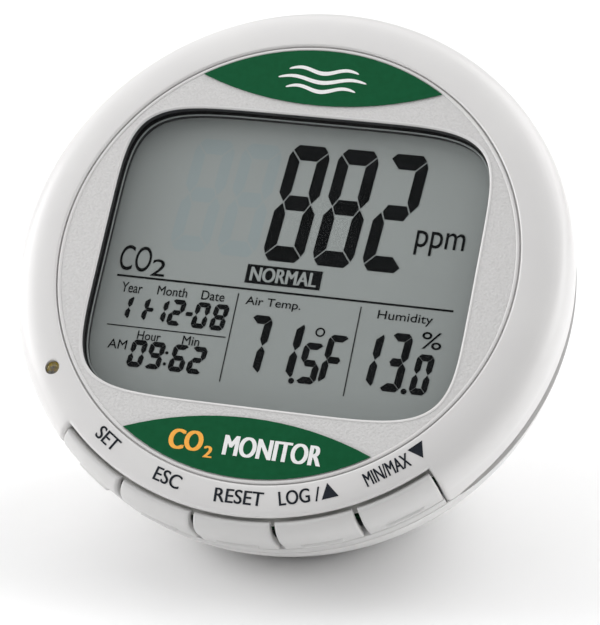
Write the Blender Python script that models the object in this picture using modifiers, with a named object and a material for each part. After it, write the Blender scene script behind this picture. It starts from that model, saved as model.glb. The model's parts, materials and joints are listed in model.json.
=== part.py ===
"""Desktop carbon dioxide monitor: a round face that leans back, on a dome-shaped back with a flat base.

Units are metres and +Z is up. The origin is on the ground, under the middle of the whole object.
Nearly every piece is drawn in the face frame: x to the right, y up the leaning face, z out of it,
with its origin at the middle of the face. A depth is measured from the face into the case, so a
point at depth d has z = -d. Angles go round the face from its right-hand side, through its top.
"""

import math

import bmesh
import bpy
from mathutils import Euler, Vector

MM = 0.001

# Driving dimensions: the face and where it stands.
FACE_LEAN = math.radians(42.75)
FACE_CENTRE = Vector((0.0, -12.96 * MM, 61.0 * MM))
PANEL_RADIUS = 47.2 * MM
PANEL_FRONT = 0.3 * MM
PANEL_BACK = 1.6 * MM

# The rim's outer curve: four control points of a Bezier curve, as (radius, depth).
RIM_CURVE = [(48.0 * MM, 0.0), (56.0 * MM, 0.2 * MM), (58.6 * MM, 2.5 * MM), (57.7 * MM, 9.0 * MM)]
WALL = 2.4 * MM
INNER_CURVE_START = 0.66
PARTING_DEPTH = 15.5 * MM
PARTING_GAP = 0.3 * MM
PARTING_RADIUS = 57.3 * MM
RIM_STEPS = 8
INNER_STEPS = 5

# The bulkhead carries the face panel, the window and the display.
BULKHEAD_FRONT = 1.9 * MM
BULKHEAD_BACK = 4.5 * MM
BULKHEAD_BORE = 25.0 * MM

# The display opening is a superellipse: half width, half height and exponent.
OPENING = (39.2 * MM, 32.0 * MM)
OPENING_POWER = 6
WINDOW_SEAT = (41.3 * MM, 34.1 * MM)
WINDOW_SEAT_DEPTH = 3.5 * MM
WINDOW_SIZE = (41.0 * MM, 33.8 * MM)
WINDOW_FRONT = 2.1 * MM
WINDOW_BACK = 3.2 * MM
BULKHEAD_OPENING = (38.6 * MM, 31.4 * MM)

# The back: sections are circles whose radius follows a superellipse and whose centre drops.
BACK_RADIUS = 57.3 * MM
BACK_LENGTH = 60.0 * MM
BACK_POWERS = (1.45, 1.8)
BACK_DROP = 16.0 * MM
BACK_STEPS = 11
BASE_HEIGHT = 1.0 * MM
SEGMENTS = 60

# Crescent recesses on both sides of the parting line.
CRESCENT_HALF_LENGTH = 40.0 * MM
CRESCENT_HALF_WIDTH = 2.2 * MM
CRESCENT_TAPER = 0.3
CRESCENT_TIP_POWER = 10
CRESCENT_FLOOR = 56.1 * MM

# Keys: five in a row round the lowest part of the rim, above the strip that carries them.
KEY_NAMES = ["set_key", "esc_key", "reset_key", "log_key", "minmax_key"]
KEY_PITCH = math.radians(17.2)
KEY_HALF_ANGLE = math.radians(8.1)
KEYS_MIDDLE = math.radians(270)
KEY_CURVE_START = 0.42
KEY_WALL = 1.6 * MM
KEY_FOOT = (57.55 * MM, 11.9 * MM)
KEY_SPIN_STEPS = 6
KEY_SLOT_CURVE_POINT = 0.36
KEY_SLOT_REACH = 3.0 * MM
KEY_HINGE = (56.7 * MM, 12.05 * MM)
STRIP_FRONT = 12.2 * MM
STRIP_THICKNESS = 2.5 * MM
STRIP_END_GAP = math.radians(0.3)
STEM_DEPTH = 6.8 * MM
STEM_RADII = (51.9 * MM, 56.4 * MM)
STEM_WIDTH = 4.0 * MM
STEM_HEIGHT = 2.0 * MM
PLUNGER_RADII = (49.8 * MM, 51.6 * MM)
PLUNGER_RADIUS = 1.1 * MM
SWITCH_RADII = (44.9 * MM, 48.9 * MM)
SWITCH_WIDTH = 6.4 * MM
SWITCH_FRONT = 5.0 * MM

# Circuit board and the depths of what stands on its two sides.
BOARD_RADIUS = 53.2 * MM
BOARD_FRONT = 11.5 * MM
BOARD_BACK = 13.1 * MM
FIT_GAP = 0.3 * MM
FRONT_MOUNTED = BOARD_FRONT - FIT_GAP
BACK_MOUNTED = BOARD_BACK + FIT_GAP

# Case screws: (radius, angle) of each, and the column that each one passes through.
SCREW_CIRCLE = 47.5 * MM
SCREW_ANGLES = {
    "upper_right": math.radians(62),
    "upper_left": math.radians(118),
    "lower_left": math.radians(200),
    "lower_right": math.radians(340),
}
BOSS_RADIUS = 3.2 * MM
COLUMN_RADIUS = 3.8 * MM
COLUMN_FLOOR = 16.4 * MM
WELL_RADIUS = 1.95 * MM
WELL_END = 60.0 * MM
SHANK_RADIUS = 1.0 * MM
SHANK_HOLE_RADIUS = 1.3 * MM
SCREW_TIP = 6.5 * MM
SCREW_HEAD_RADIUS = 1.65 * MM
SCREW_HEAD_HEIGHT = 1.6 * MM

# Status lamp in the rim.
LAMP_RADIUS_ON_FACE = 52.0 * MM
LAMP_ANGLE = math.radians(213.4)
LAMP_HOLE_RADIUS = 1.85 * MM
LAMP_RADIUS = 1.5 * MM
LAMP_FRONT = 0.5 * MM
LAMP_BACK = 7.0 * MM

# Vents, jacks and feet, in world directions, measured from the face's centre where (y) is given.
VENT_ROWS = 5
VENT_PITCH = 4.4 * MM
VENT_LOWEST = 45.0 * MM
VENT_LENGTH = 28.0 * MM
VENT_HEIGHT = 2.0 * MM
VENT_Y = (50.0 * MM, 72.0 * MM)
JACK_HEIGHT = 22.0 * MM
JACK_X = 8.5 * MM
JACK_Y = (42.9 * MM, 53.2 * MM)
JACK_RADIUS = 3.9 * MM
JACK_HOLE_RADIUS = 4.3 * MM
FOOT_RADIUS = 4.0 * MM
FOOT_THICKNESS = 0.7 * MM
FOOT_PLACES = {
    "front_left": (-11.0 * MM, 0.5 * MM),
    "front_right": (11.0 * MM, 0.5 * MM),
    "rear_left": (-14.0 * MM, 33.0 * MM),
    "rear_right": (14.0 * MM, 33.0 * MM),
}

PARTS_NAME = "carbon_dioxide_monitor"
CUTTERS_NAME = "cutters"

# Colour (linear RGB), roughness and metallic value of each material.
FINISHES = {
    "case_plastic": ((0.66, 0.655, 0.665), 0.38, 0.0),
    "panel_plastic": ((0.62, 0.615, 0.625), 0.55, 0.0),
    "clear_plastic": ((0.85, 0.88, 0.88), 0.05, 0.0),
    "display_glass": ((0.28, 0.32, 0.32), 0.15, 0.0),
    "black_plastic": ((0.02, 0.02, 0.022), 0.45, 0.0),
    "white_plastic": ((0.75, 0.75, 0.72), 0.5, 0.0),
    "label_green": ((0.0, 0.083, 0.027), 0.35, 0.0),
    "rubber": ((0.03, 0.03, 0.03), 0.85, 0.0),
    "board_green": ((0.01, 0.12, 0.04), 0.45, 0.0),
    "steel": ((0.55, 0.55, 0.56), 0.3, 1.0),
    "lamp_amber": ((0.45, 0.33, 0.05), 0.15, 0.0),
}


def clear_scene():
    """Empty the scene without closing the file that the script runs from."""
    for thing in list(bpy.data.objects):
        bpy.data.objects.remove(thing, do_unlink=True)


def make_collection(name):
    """Collection under the scene's own collection."""
    collection = bpy.data.collections.new(name)
    bpy.context.scene.collection.children.link(collection)
    return collection


def make_material(name):
    """Principled material with the finish listed for its name."""
    colour, roughness, metallic = FINISHES[name]
    material = bpy.data.materials.new(name)
    material.use_nodes = True
    shader = material.node_tree.nodes["Principled BSDF"]
    shader.inputs["Base Color"].default_value = (*colour, 1.0)
    shader.inputs["Roughness"].default_value = roughness
    shader.inputs["Metallic"].default_value = metallic
    return material


def make_face_frame():
    """Empty whose axes are the face frame's axes."""
    empty = bpy.data.objects.new("face_frame", None)
    bpy.context.scene.collection.objects.link(empty)
    empty.location = FACE_CENTRE
    empty.rotation_euler = Euler((math.pi / 2 - FACE_LEAN, 0.0, 0.0))
    return empty


def in_face_frame(point):
    """A world point in the face frame."""
    turn = Euler((math.pi / 2 - FACE_LEAN, 0.0, 0.0)).to_matrix()
    return turn.inverted() @ (Vector(point) - FACE_CENTRE)


def world_direction_in_face_frame(direction):
    """A world direction in the face frame."""
    turn = Euler((math.pi / 2 - FACE_LEAN, 0.0, 0.0)).to_matrix()
    return turn.inverted() @ Vector(direction)


def polar(radius, angle, depth=0.0):
    """Face-frame point at a radius, an angle and a depth."""
    return Vector((radius * math.cos(angle), radius * math.sin(angle), -depth))


def mesh_object(name, bm):
    """Object made from a bmesh, not yet in a collection."""
    bmesh.ops.recalc_face_normals(bm, faces=bm.faces)
    mesh = bpy.data.meshes.new(name)
    bm.to_mesh(mesh)
    bm.free()
    return bpy.data.objects.new(name, mesh)


def place(thing, material, parent, collection_name=PARTS_NAME):
    """Put an object in a collection, under its parent, with its material and smooth shading."""
    bpy.data.collections[collection_name].objects.link(thing)
    thing.parent = parent
    if material:
        thing.data.materials.clear()
        thing.data.materials.append(bpy.data.materials[material])
    if thing.type == "MESH":
        thing.data.shade_smooth()
        thing.data.set_sharp_from_angle(angle=math.radians(30))
    return thing


def place_cutter(thing, parent):
    """Put an object among the cutters, which are not parts."""
    place(thing, None, parent, CUTTERS_NAME)
    thing.hide_render = True
    thing.display_type = "WIRE"
    return thing


def apply_modifiers(thing):
    """Replace an object's mesh by its evaluated mesh, and drop its modifiers."""
    bpy.context.view_layer.update()
    evaluated = thing.evaluated_get(bpy.context.evaluated_depsgraph_get())
    mesh = bpy.data.meshes.new_from_object(evaluated)
    thing.modifiers.clear()
    thing.data = mesh
    return thing


def combine(target, other, operation):
    """Add a Boolean modifier to the target."""
    modifier = target.modifiers.new(operation.lower() + "_" + other.name, "BOOLEAN")
    modifier.operation = operation
    modifier.solver = "EXACT"
    modifier.object = other


def turned(name, profile, segments=SEGMENTS):
    """Object turned about its local Z. The profile is (radius, depth), front to back on the outside.

    A profile that starts and ends on the axis is open; any other is a closed loop round a ring.
    """
    mesh = bpy.data.meshes.new(name)
    count = len(profile)
    on_axis = profile[0][0] == 0 and profile[-1][0] == 0
    edges = [(i, i + 1) for i in range(count - 1)]
    if not on_axis:
        edges.append((count - 1, 0))
    mesh.from_pydata([(radius, 0.0, -depth) for radius, depth in profile], edges, [])
    thing = bpy.data.objects.new(name, mesh)
    screw = thing.modifiers.new("turn", "SCREW")
    screw.steps = segments
    screw.render_steps = segments
    screw.use_merge_vertices = True
    screw.merge_threshold = 0.00001
    screw.use_smooth_shade = True
    return thing


def rod(name, radius, front, back, segments=24):
    """Solid cylinder about the local Z between two depths."""
    return turned(name, [(0.0, front), (radius, front), (radius, back), (0.0, back)], segments)


def spun(name, profile, half_angle, steps):
    """Sector of a turned shape, centred on the local X axis."""
    bm = bmesh.new()
    start = [bm.verts.new((radius, 0.0, -depth)) for radius, depth in profile]
    bm.faces.new(start)
    bmesh.ops.rotate(bm, verts=bm.verts, matrix=Euler((0, 0, -half_angle)).to_matrix())
    bmesh.ops.spin(
        bm,
        geom=bm.verts[:] + bm.edges[:] + bm.faces[:],
        axis=(0, 0, 1),
        cent=(0, 0, 0),
        angle=2 * half_angle,
        steps=steps,
    )
    bmesh.ops.remove_doubles(bm, verts=bm.verts, dist=0.000001)
    return mesh_object(name, bm)


def extruded(name, outlines, front, back):
    """Flat plate between two depths. The first outline is its edge and the others are holes."""
    curve = bpy.data.curves.new(name, "CURVE")
    curve.dimensions = "2D"
    curve.fill_mode = "BOTH"
    curve.extrude = (back - front) / 2
    for outline in outlines:
        spline = curve.splines.new("POLY")
        spline.points.add(len(outline) - 1)
        for point, (x, y) in zip(spline.points, outline):
            point.co = (x, y, 0.0, 1.0)
        spline.use_cyclic_u = True
    drawn = bpy.data.objects.new(name + "_outline", curve)
    bpy.context.scene.collection.objects.link(drawn)
    bpy.context.view_layer.update()
    evaluated = drawn.evaluated_get(bpy.context.evaluated_depsgraph_get())
    bm = bmesh.new()
    bm.from_mesh(bpy.data.meshes.new_from_object(evaluated))
    bpy.data.objects.remove(drawn, do_unlink=True)
    bmesh.ops.remove_doubles(bm, verts=bm.verts, dist=0.00001)
    bmesh.ops.translate(bm, verts=bm.verts, vec=(0, 0, -(front + back) / 2))
    return mesh_object(name, bm)


def box(name, low, high, bevel=0.0):
    """Box between two corners, with rounded edges if a bevel width is given."""
    bm = bmesh.new()
    bmesh.ops.create_cube(bm, size=1.0)
    size = Vector(high) - Vector(low)
    bmesh.ops.scale(bm, verts=bm.verts, vec=size)
    bmesh.ops.translate(bm, verts=bm.verts, vec=(Vector(low) + Vector(high)) / 2)
    thing = mesh_object(name, bm)
    if bevel:
        rounding = thing.modifiers.new("rounded_edges", "BEVEL")
        rounding.width = bevel
        rounding.segments = 2
    return thing


def board_piece(name, centre, size, front, back, bevel=0.0):
    """Box on or near the circuit board: face-frame centre, width and height, and two depths."""
    low = (centre[0] - size[0] / 2, centre[1] - size[1] / 2, -back)
    high = (centre[0] + size[0] / 2, centre[1] + size[1] / 2, -front)
    return box(name, low, high, bevel)


def superellipse(half_size, count=72):
    """Outline of a rectangle with bowed sides and large round corners."""
    outline = []
    for i in range(count):
        angle = 2 * math.pi * i / count
        x = math.copysign(abs(math.cos(angle)) ** (2 / OPENING_POWER), math.cos(angle))
        y = math.copysign(abs(math.sin(angle)) ** (2 / OPENING_POWER), math.sin(angle))
        outline.append((half_size[0] * x, half_size[1] * y))
    return outline


def circle(radius, count, centre=(0.0, 0.0)):
    """Outline of a circle."""
    steps = [2 * math.pi * i / count for i in range(count)]
    return [(centre[0] + radius * math.cos(a), centre[1] + radius * math.sin(a)) for a in steps]


def rectangle(width, height, centre=(0.0, 0.0), corner=0.0):
    """Outline of a rectangle, with cut corners if a corner size is given."""
    half_w, half_h = width / 2, height / 2
    if not corner:
        signs = [(1, 1), (-1, 1), (-1, -1), (1, -1)]
        return [(centre[0] + sx * half_w, centre[1] + sy * half_h) for sx, sy in signs]
    outline = []
    for sx, sy, first in [(1, 1, 0), (-1, 1, 1), (-1, -1, 0), (1, -1, 1)]:
        pair = [(sx * half_w, sy * (half_h - corner)), (sx * (half_w - corner), sy * half_h)]
        outline += reversed(pair) if first else pair
    return [(centre[0] + x, centre[1] + y) for x, y in outline]


def rim_point(t, inset=0.0):
    """Point (radius, depth) on the rim's curve, moved into the material by an inset."""
    s = 1 - t
    weights = (s ** 3, 3 * s * s * t, 3 * s * t * t, t ** 3)
    radius = sum(w * p[0] for w, p in zip(weights, RIM_CURVE))
    depth = sum(w * p[1] for w, p in zip(weights, RIM_CURVE))
    slopes = (s * s, 2 * s * t, t * t)
    steps = [(b[0] - a[0], b[1] - a[1]) for a, b in zip(RIM_CURVE, RIM_CURVE[1:])]
    along = Vector((
        sum(w * step[0] for w, step in zip(slopes, steps)),
        sum(w * step[1] for w, step in zip(slopes, steps)),
    )).normalized()
    return radius - along.y * inset, depth + along.x * inset


def rim_points(start, end, steps, inset=0.0):
    """Evenly spaced points on the rim's curve."""
    return [rim_point(start + (end - start) * i / steps, inset) for i in range(steps + 1)]


def crescent_cutter(parent):
    """Crescents that dish the case on both sides along the parting line."""
    arc = []
    steps = 16
    for i in range(steps + 1):
        along = math.sin(math.pi * (i / steps - 0.5))
        narrowing = (1 - CRESCENT_TAPER * along ** 2) * math.sqrt(1 - along ** CRESCENT_TIP_POWER)
        arc.append((along * CRESCENT_HALF_LENGTH, CRESCENT_HALF_WIDTH * narrowing))
    outline = arc + [(x, -y) for x, y in reversed(arc[1:-1])]
    reach = PARTING_RADIUS + WALL
    lens = extruded("crescent_cutter", [outline], -reach, reach)
    lens.data.transform(Euler((0, math.pi / 2, 0)).to_matrix().to_4x4())
    lens.data.transform(Euler((math.pi / 2, 0, 0)).to_matrix().to_4x4())
    place_cutter(lens, parent)
    lens.location.z = -PARTING_DEPTH
    core = place_cutter(rod("crescent_core", CRESCENT_FLOOR, 0.0, 2 * PARTING_DEPTH, SEGMENTS), parent)
    combine(lens, core, "DIFFERENCE")
    return lens


def make_front_housing(frame, crescents):
    """Rim and bulkhead in one moulding, open where the keys, the window and the lamp go."""
    profile = rim_points(0.0, 1.0, RIM_STEPS)
    end = PARTING_DEPTH - PARTING_GAP / 2
    profile += [(PARTING_RADIUS, end), (PARTING_RADIUS - WALL, end)]
    profile += rim_points(1.0, INNER_CURVE_START, INNER_STEPS, WALL)
    profile += [
        (BULKHEAD_BORE, BULKHEAD_BACK),
        (BULKHEAD_BORE, BULKHEAD_FRONT),
        (RIM_CURVE[0][0], BULKHEAD_FRONT),
    ]
    housing = place(turned("front_housing", profile), "case_plastic", frame)
    seat = extruded("window_seat_cutter", [superellipse(WINDOW_SEAT)], BULKHEAD_FRONT - MM, WINDOW_SEAT_DEPTH)
    opening = extruded("opening_cutter", [superellipse(BULKHEAD_OPENING)], 0.0, BULKHEAD_BACK + MM)
    for cutter in (seat, opening, make_key_slot(), make_lamp_hole()):
        combine(housing, place_cutter(cutter, frame), "DIFFERENCE")
    boss_profile = [
        (0.0, BULKHEAD_BACK - MM),
        (BOSS_RADIUS, BULKHEAD_BACK - MM),
        (BOSS_RADIUS, FRONT_MOUNTED),
        (SHANK_HOLE_RADIUS, FRONT_MOUNTED),
        (SHANK_HOLE_RADIUS, SCREW_TIP - FIT_GAP),
        (0.0, SCREW_TIP - FIT_GAP),
    ]
    for place_name, angle in SCREW_ANGLES.items():
        boss = turned("boss_" + place_name, boss_profile, 20)
        boss.location = polar(SCREW_CIRCLE, angle)
        combine(housing, place_cutter(boss, frame), "UNION")
    combine(housing, crescents, "DIFFERENCE")


def make_key_slot():
    """Cutter for the notch that the keys and their strip share, open at the parting line."""
    top = rim_point(KEY_SLOT_CURVE_POINT)
    outer = rim_point(KEY_SLOT_CURVE_POINT, -KEY_SLOT_REACH)
    inner = rim_point(KEY_SLOT_CURVE_POINT, KEY_SLOT_REACH)
    beyond = PARTING_RADIUS + KEY_SLOT_REACH
    end = PARTING_DEPTH + MM
    profile = [outer, (beyond, outer[1]), (beyond, end), (inner[0], end), inner, top]
    slot = spun("key_slot_cutter", profile, len(KEY_NAMES) * KEY_PITCH / 2, 5 * len(KEY_NAMES))
    slot.rotation_euler = Euler((0, 0, KEYS_MIDDLE))
    return slot


def make_lamp_hole():
    """Cutter for the status lamp's hole in the rim."""
    hole = rod("lamp_hole_cutter", LAMP_HOLE_RADIUS, -MM, LAMP_BACK + MM, 20)
    hole.location = polar(LAMP_RADIUS_ON_FACE, LAMP_ANGLE)
    return hole


def back_solid(name, inset, front):
    """Dome of the back, filled in, made smaller by an inset and starting at a front depth."""
    profile = [(0.0, front), (BACK_RADIUS - inset, front)]
    for i in range(1, BACK_STEPS):
        reach = math.sin(math.pi / 2 * i / BACK_STEPS)
        share = (1 - reach ** BACK_POWERS[0]) ** (1 / BACK_POWERS[1])
        profile.append(((BACK_RADIUS - inset) * share, PARTING_DEPTH + (BACK_LENGTH - inset) * reach))
    profile.append((0.0, PARTING_DEPTH + BACK_LENGTH - inset))
    dome = turned(name, profile)
    bpy.context.scene.collection.objects.link(dome)
    apply_modifiers(dome)
    bpy.context.scene.collection.objects.unlink(dome)
    for vertex in dome.data.vertices:
        reach = max(0.0, -vertex.co.z - PARTING_DEPTH) / BACK_LENGTH
        vertex.co.y -= BACK_DROP * reach ** 3
    return cut_level(dome, BASE_HEIGHT + inset)


def cut_level(thing, height):
    """Cut a face-frame object flat at a height above the ground, and close it there."""
    bm = bmesh.new()
    bm.from_mesh(thing.data)
    bmesh.ops.bisect_plane(
        bm,
        geom=bm.verts[:] + bm.edges[:] + bm.faces[:],
        plane_co=in_face_frame((0, 0, height)),
        plane_no=world_direction_in_face_frame((0, 0, -1)),
        clear_outer=True,
    )
    bmesh.ops.holes_fill(bm, edges=[edge for edge in bm.edges if edge.is_boundary])
    bmesh.ops.recalc_face_normals(bm, faces=bm.faces)
    bm.to_mesh(thing.data)
    bm.free()
    return thing


def make_rear_housing(frame, crescents):
    """Hollow dome with screw columns, vents and holes for the jacks."""
    front = PARTING_DEPTH + PARTING_GAP / 2
    housing = place(back_solid("rear_housing", 0.0, front), "case_plastic", frame)
    hollow = place_cutter(back_solid("rear_hollow_cutter", WALL, front - 2 * MM), frame)
    combine(housing, hollow, "DIFFERENCE")
    limit = place_cutter(back_solid("column_limit", WALL / 2, BACK_MOUNTED), frame)
    for place_name, angle in SCREW_ANGLES.items():
        column = rod("column_" + place_name, COLUMN_RADIUS, BOARD_FRONT, WELL_END, 20)
        column.location = polar(SCREW_CIRCLE, angle)
        combine(place_cutter(column, frame), limit, "INTERSECT")
        combine(housing, column, "UNION")
        well = rod("well_" + place_name, WELL_RADIUS, COLUMN_FLOOR, WELL_END, 20)
        shank_hole = rod("shank_hole_" + place_name, SHANK_HOLE_RADIUS, BOARD_FRONT, COLUMN_FLOOR + MM, 16)
        for cutter in (well, shank_hole):
            cutter.location = polar(SCREW_CIRCLE, angle)
            combine(housing, place_cutter(cutter, frame), "DIFFERENCE")
    for cutter in vent_cutters() + jack_hole_cutters():
        combine(housing, place_cutter(cutter, None), "DIFFERENCE")
    combine(housing, crescents, "DIFFERENCE")


def vent_cutters():
    """Level slots through the rearmost part of the dome."""
    cutters = []
    for row in range(VENT_ROWS):
        height = VENT_LOWEST + row * VENT_PITCH
        low = (-VENT_LENGTH / 2, FACE_CENTRE.y + VENT_Y[0], height - VENT_HEIGHT / 2)
        high = (VENT_LENGTH / 2, FACE_CENTRE.y + VENT_Y[1], height + VENT_HEIGHT / 2)
        cutters.append(box(f"vent_cutter_{row + 1}", low, high))
    return cutters


def stand_along_y(thing, x, y, z):
    """Turn an object so that its depth runs from the back (+Y) towards the front."""
    thing.location = (x, y, z)
    thing.rotation_euler = Euler((-math.pi / 2, 0, 0))
    return thing


def jack_hole_cutters():
    """Round holes in front of the two jacks."""
    holes = []
    for side, x in (("left", -JACK_X), ("right", JACK_X)):
        hole = rod("jack_hole_" + side, JACK_HOLE_RADIUS, -20 * MM, 6 * MM)
        holes.append(stand_along_y(hole, x, FACE_CENTRE.y + JACK_Y[1], JACK_HEIGHT))
    return holes


def make_face(frame):
    """Textured panel, its two printed labels, and the window behind it."""
    outlines = [circle(PANEL_RADIUS, SEGMENTS), superellipse(OPENING)]
    place(extruded("face_panel", outlines, PANEL_FRONT, PANEL_BACK), "panel_plastic", frame)
    window = extruded("display_window", [superellipse(WINDOW_SIZE)], WINDOW_FRONT, WINDOW_BACK)
    place(window, "clear_plastic", frame)
    label_front = PANEL_FRONT - 0.25 * MM
    label_back = PANEL_FRONT - 0.1 * MM
    for name, up in (("upper_label", 1), ("lower_label", -1)):
        outline = [(x, up * y) for x, y in label_outline()]
        place(extruded(name, [outline], label_front, label_back), "label_green", frame)


def label_outline():
    """Leaf shape between the panel's edge and a flatter arc nearer the display."""
    half_width = 25.6 * MM
    outer_radius = 47.0 * MM
    tip_height = 39.3 * MM
    inner_height = 34.4 * MM
    sagitta = tip_height - inner_height
    inner_radius = (half_width ** 2 + sagitta ** 2) / (2 * sagitta)
    steps = 16
    outer = []
    inner = []
    for i in range(steps + 1):
        x = half_width * (1 - 2 * i / steps)
        outer.append((x, tip_height + math.sqrt(outer_radius ** 2 - x ** 2)
                      - math.sqrt(outer_radius ** 2 - half_width ** 2)))
        inner.append((-x, inner_height + inner_radius - math.sqrt(inner_radius ** 2 - x ** 2)))
    return outer + inner[1:-1]


def make_display(frame):
    """Liquid crystal cell, the frame that holds it, and its two rubber connectors."""
    glass = extruded("lcd_glass", [rectangle(80 * MM, 64.4 * MM, corner=1.5 * MM)], 4.8 * MM, 7.0 * MM)
    place(glass, "display_glass", frame)
    holder_outline = rectangle(80 * MM, 64.4 * MM, corner=1.5 * MM)
    holes = [rectangle(74 * MM, 46 * MM)]
    for up in (1, -1):
        holes.append(rectangle(62 * MM, 3.0 * MM, (0.0, up * 28 * MM)))
    place(extruded("lcd_frame", [holder_outline] + holes, 7.3 * MM, 9.6 * MM), "black_plastic", frame)
    for name, up in (("upper_zebra_strip", 1), ("lower_zebra_strip", -1)):
        strip = board_piece(name, (0.0, up * 28 * MM), (61 * MM, 2.2 * MM), 7.3 * MM, FRONT_MOUNTED)
        place(strip, "rubber", frame)


def make_key_mesh():
    """Mesh that all keys share: curved cap and stem, drawn round the local X axis."""
    profile = rim_points(KEY_CURVE_START, 1.0, 6) + [KEY_FOOT, (KEY_FOOT[0] - KEY_WALL, KEY_FOOT[1])]
    profile += rim_points(1.0, KEY_CURVE_START, 5, KEY_WALL)
    key = spun("key", profile, KEY_HALF_ANGLE, KEY_SPIN_STEPS)
    stem = box(
        "key_stem",
        (STEM_RADII[0], -STEM_WIDTH / 2, -STEM_DEPTH - STEM_HEIGHT / 2),
        (STEM_RADII[1], STEM_WIDTH / 2, -STEM_DEPTH + STEM_HEIGHT / 2),
    )
    for thing in (key, stem):
        bpy.context.scene.collection.objects.link(thing)
    combine(key, stem, "UNION")
    apply_modifiers(key)
    mesh = key.data
    for thing in (key, stem):
        bpy.data.objects.remove(thing, do_unlink=True)
    return mesh


def make_keys(frame):
    """Five keys, each hinged at its foot, with the switch that it presses."""
    mesh = make_key_mesh()
    middle = (len(KEY_NAMES) - 1) / 2
    for index, name in enumerate(KEY_NAMES):
        angle = KEYS_MIDDLE + (index - middle) * KEY_PITCH
        hinge = bpy.data.objects.new(name + "_hinge", None)
        bpy.context.scene.collection.objects.link(hinge)
        hinge.parent = frame
        hinge.location = polar(KEY_HINGE[0], angle, KEY_HINGE[1])
        hinge.rotation_euler = Euler((0, 0, angle))
        key = place(bpy.data.objects.new(name, mesh), "case_plastic", hinge)
        key.location = (-KEY_HINGE[0], 0.0, KEY_HINGE[1])
        make_switch(name.replace("key", "switch"), angle, hinge, frame)


def make_switch(name, angle, hinge, frame):
    """Side-pressed switch on the board, and its plunger, which moves with the key."""
    low = (SWITCH_RADII[0], -SWITCH_WIDTH / 2, -FRONT_MOUNTED)
    high = (SWITCH_RADII[1], SWITCH_WIDTH / 2, -SWITCH_FRONT)
    switch = place(box(name, low, high), "black_plastic", frame)
    switch.rotation_euler = Euler((0, 0, angle))
    plunger = rod(name + "_plunger", PLUNGER_RADIUS, 0.0, PLUNGER_RADII[1] - PLUNGER_RADII[0], 12)
    plunger.location = (PLUNGER_RADII[1] - KEY_HINGE[0], 0.0, KEY_HINGE[1] - STEM_DEPTH)
    plunger.rotation_euler = Euler((0, math.pi / 2, 0))
    place(plunger, "white_plastic", hinge)


def make_key_strip(frame):
    """Curved strip under the keys, which closes the rim down to the parting line."""
    end = PARTING_DEPTH - PARTING_GAP / 2
    profile = [
        (KEY_FOOT[0], STRIP_FRONT),
        (PARTING_RADIUS, end),
        (PARTING_RADIUS - STRIP_THICKNESS, end),
        (PARTING_RADIUS - STRIP_THICKNESS, STRIP_FRONT),
    ]
    half_angle = len(KEY_NAMES) * KEY_PITCH / 2 - STRIP_END_GAP
    strip = place(spun("key_strip", profile, half_angle, 5 * len(KEY_NAMES)), "case_plastic", frame)
    strip.rotation_euler = Euler((0, 0, KEYS_MIDDLE))


def make_board(frame):
    """Main circuit board with a hole for each case screw."""
    holes = []
    for angle in SCREW_ANGLES.values():
        centre = polar(SCREW_CIRCLE, angle)
        holes.append(circle(SHANK_HOLE_RADIUS, 12, (centre.x, centre.y)))
    board = extruded("main_board", [circle(BOARD_RADIUS, 64)] + holes, BOARD_FRONT, BOARD_BACK)
    place(board, "board_green", frame)


def make_status_lamp(frame):
    """Domed lamp in the rim, on a spacer that stands on the board."""
    dome = [(0.0, LAMP_FRONT)]
    for i in range(1, 4):
        angle = math.pi / 2 * i / 4
        height = LAMP_RADIUS * (1 - math.cos(angle))
        dome.append((LAMP_RADIUS * math.sin(angle), LAMP_FRONT + height))
    profile = dome + [(LAMP_RADIUS, LAMP_FRONT + LAMP_RADIUS), (LAMP_RADIUS, LAMP_BACK), (0.0, LAMP_BACK)]
    lamp = place(turned("status_lamp", profile, 20), "lamp_amber", frame)
    spacer = place(rod("lamp_spacer", 1.2 * MM, LAMP_BACK + FIT_GAP, FRONT_MOUNTED, 12), "white_plastic", frame)
    for thing in (lamp, spacer):
        thing.location = polar(LAMP_RADIUS_ON_FACE, LAMP_ANGLE)


def make_back_components(frame):
    """Chips, clock cell, sounder and humidity sensor on the back of the main board."""
    chip = board_piece("microcontroller", (20 * MM, -20 * MM), (12 * MM, 12 * MM), BACK_MOUNTED, 14.8 * MM)
    place(chip, "black_plastic", frame)
    memory = board_piece("memory_chip", (4 * MM, -22 * MM), (5 * MM, 6 * MM), BACK_MOUNTED, 14.9 * MM)
    place(memory, "black_plastic", frame)
    sensor = board_piece("humidity_sensor", (-38 * MM, 18 * MM), (4 * MM, 4 * MM), BACK_MOUNTED, 14.6 * MM)
    place(sensor, "white_plastic", frame)
    sounder_profile = [(0.0, 16.9), (1.0, 16.9), (1.0, 18.4), (6.0, 18.4), (6.0, 13.4), (0.0, 13.4)]
    sounder = turned("sounder", [(radius * MM, depth * MM) for radius, depth in reversed(sounder_profile)], 20)
    place(sounder, "black_plastic", frame).location = (-18 * MM, -26 * MM, 0.0)
    ring = [(10.4 * MM, BACK_MOUNTED), (11.8 * MM, BACK_MOUNTED), (11.8 * MM, 16.8 * MM), (10.4 * MM, 16.8 * MM)]
    holder = place(turned("clock_cell_holder", ring, 32), "black_plastic", frame)
    cell = place(rod("clock_cell", 10.0 * MM, BACK_MOUNTED, 16.6 * MM, 32), "steel", frame)
    for thing in (holder, cell):
        thing.location = (-24 * MM, 6 * MM, 0.0)


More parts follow.
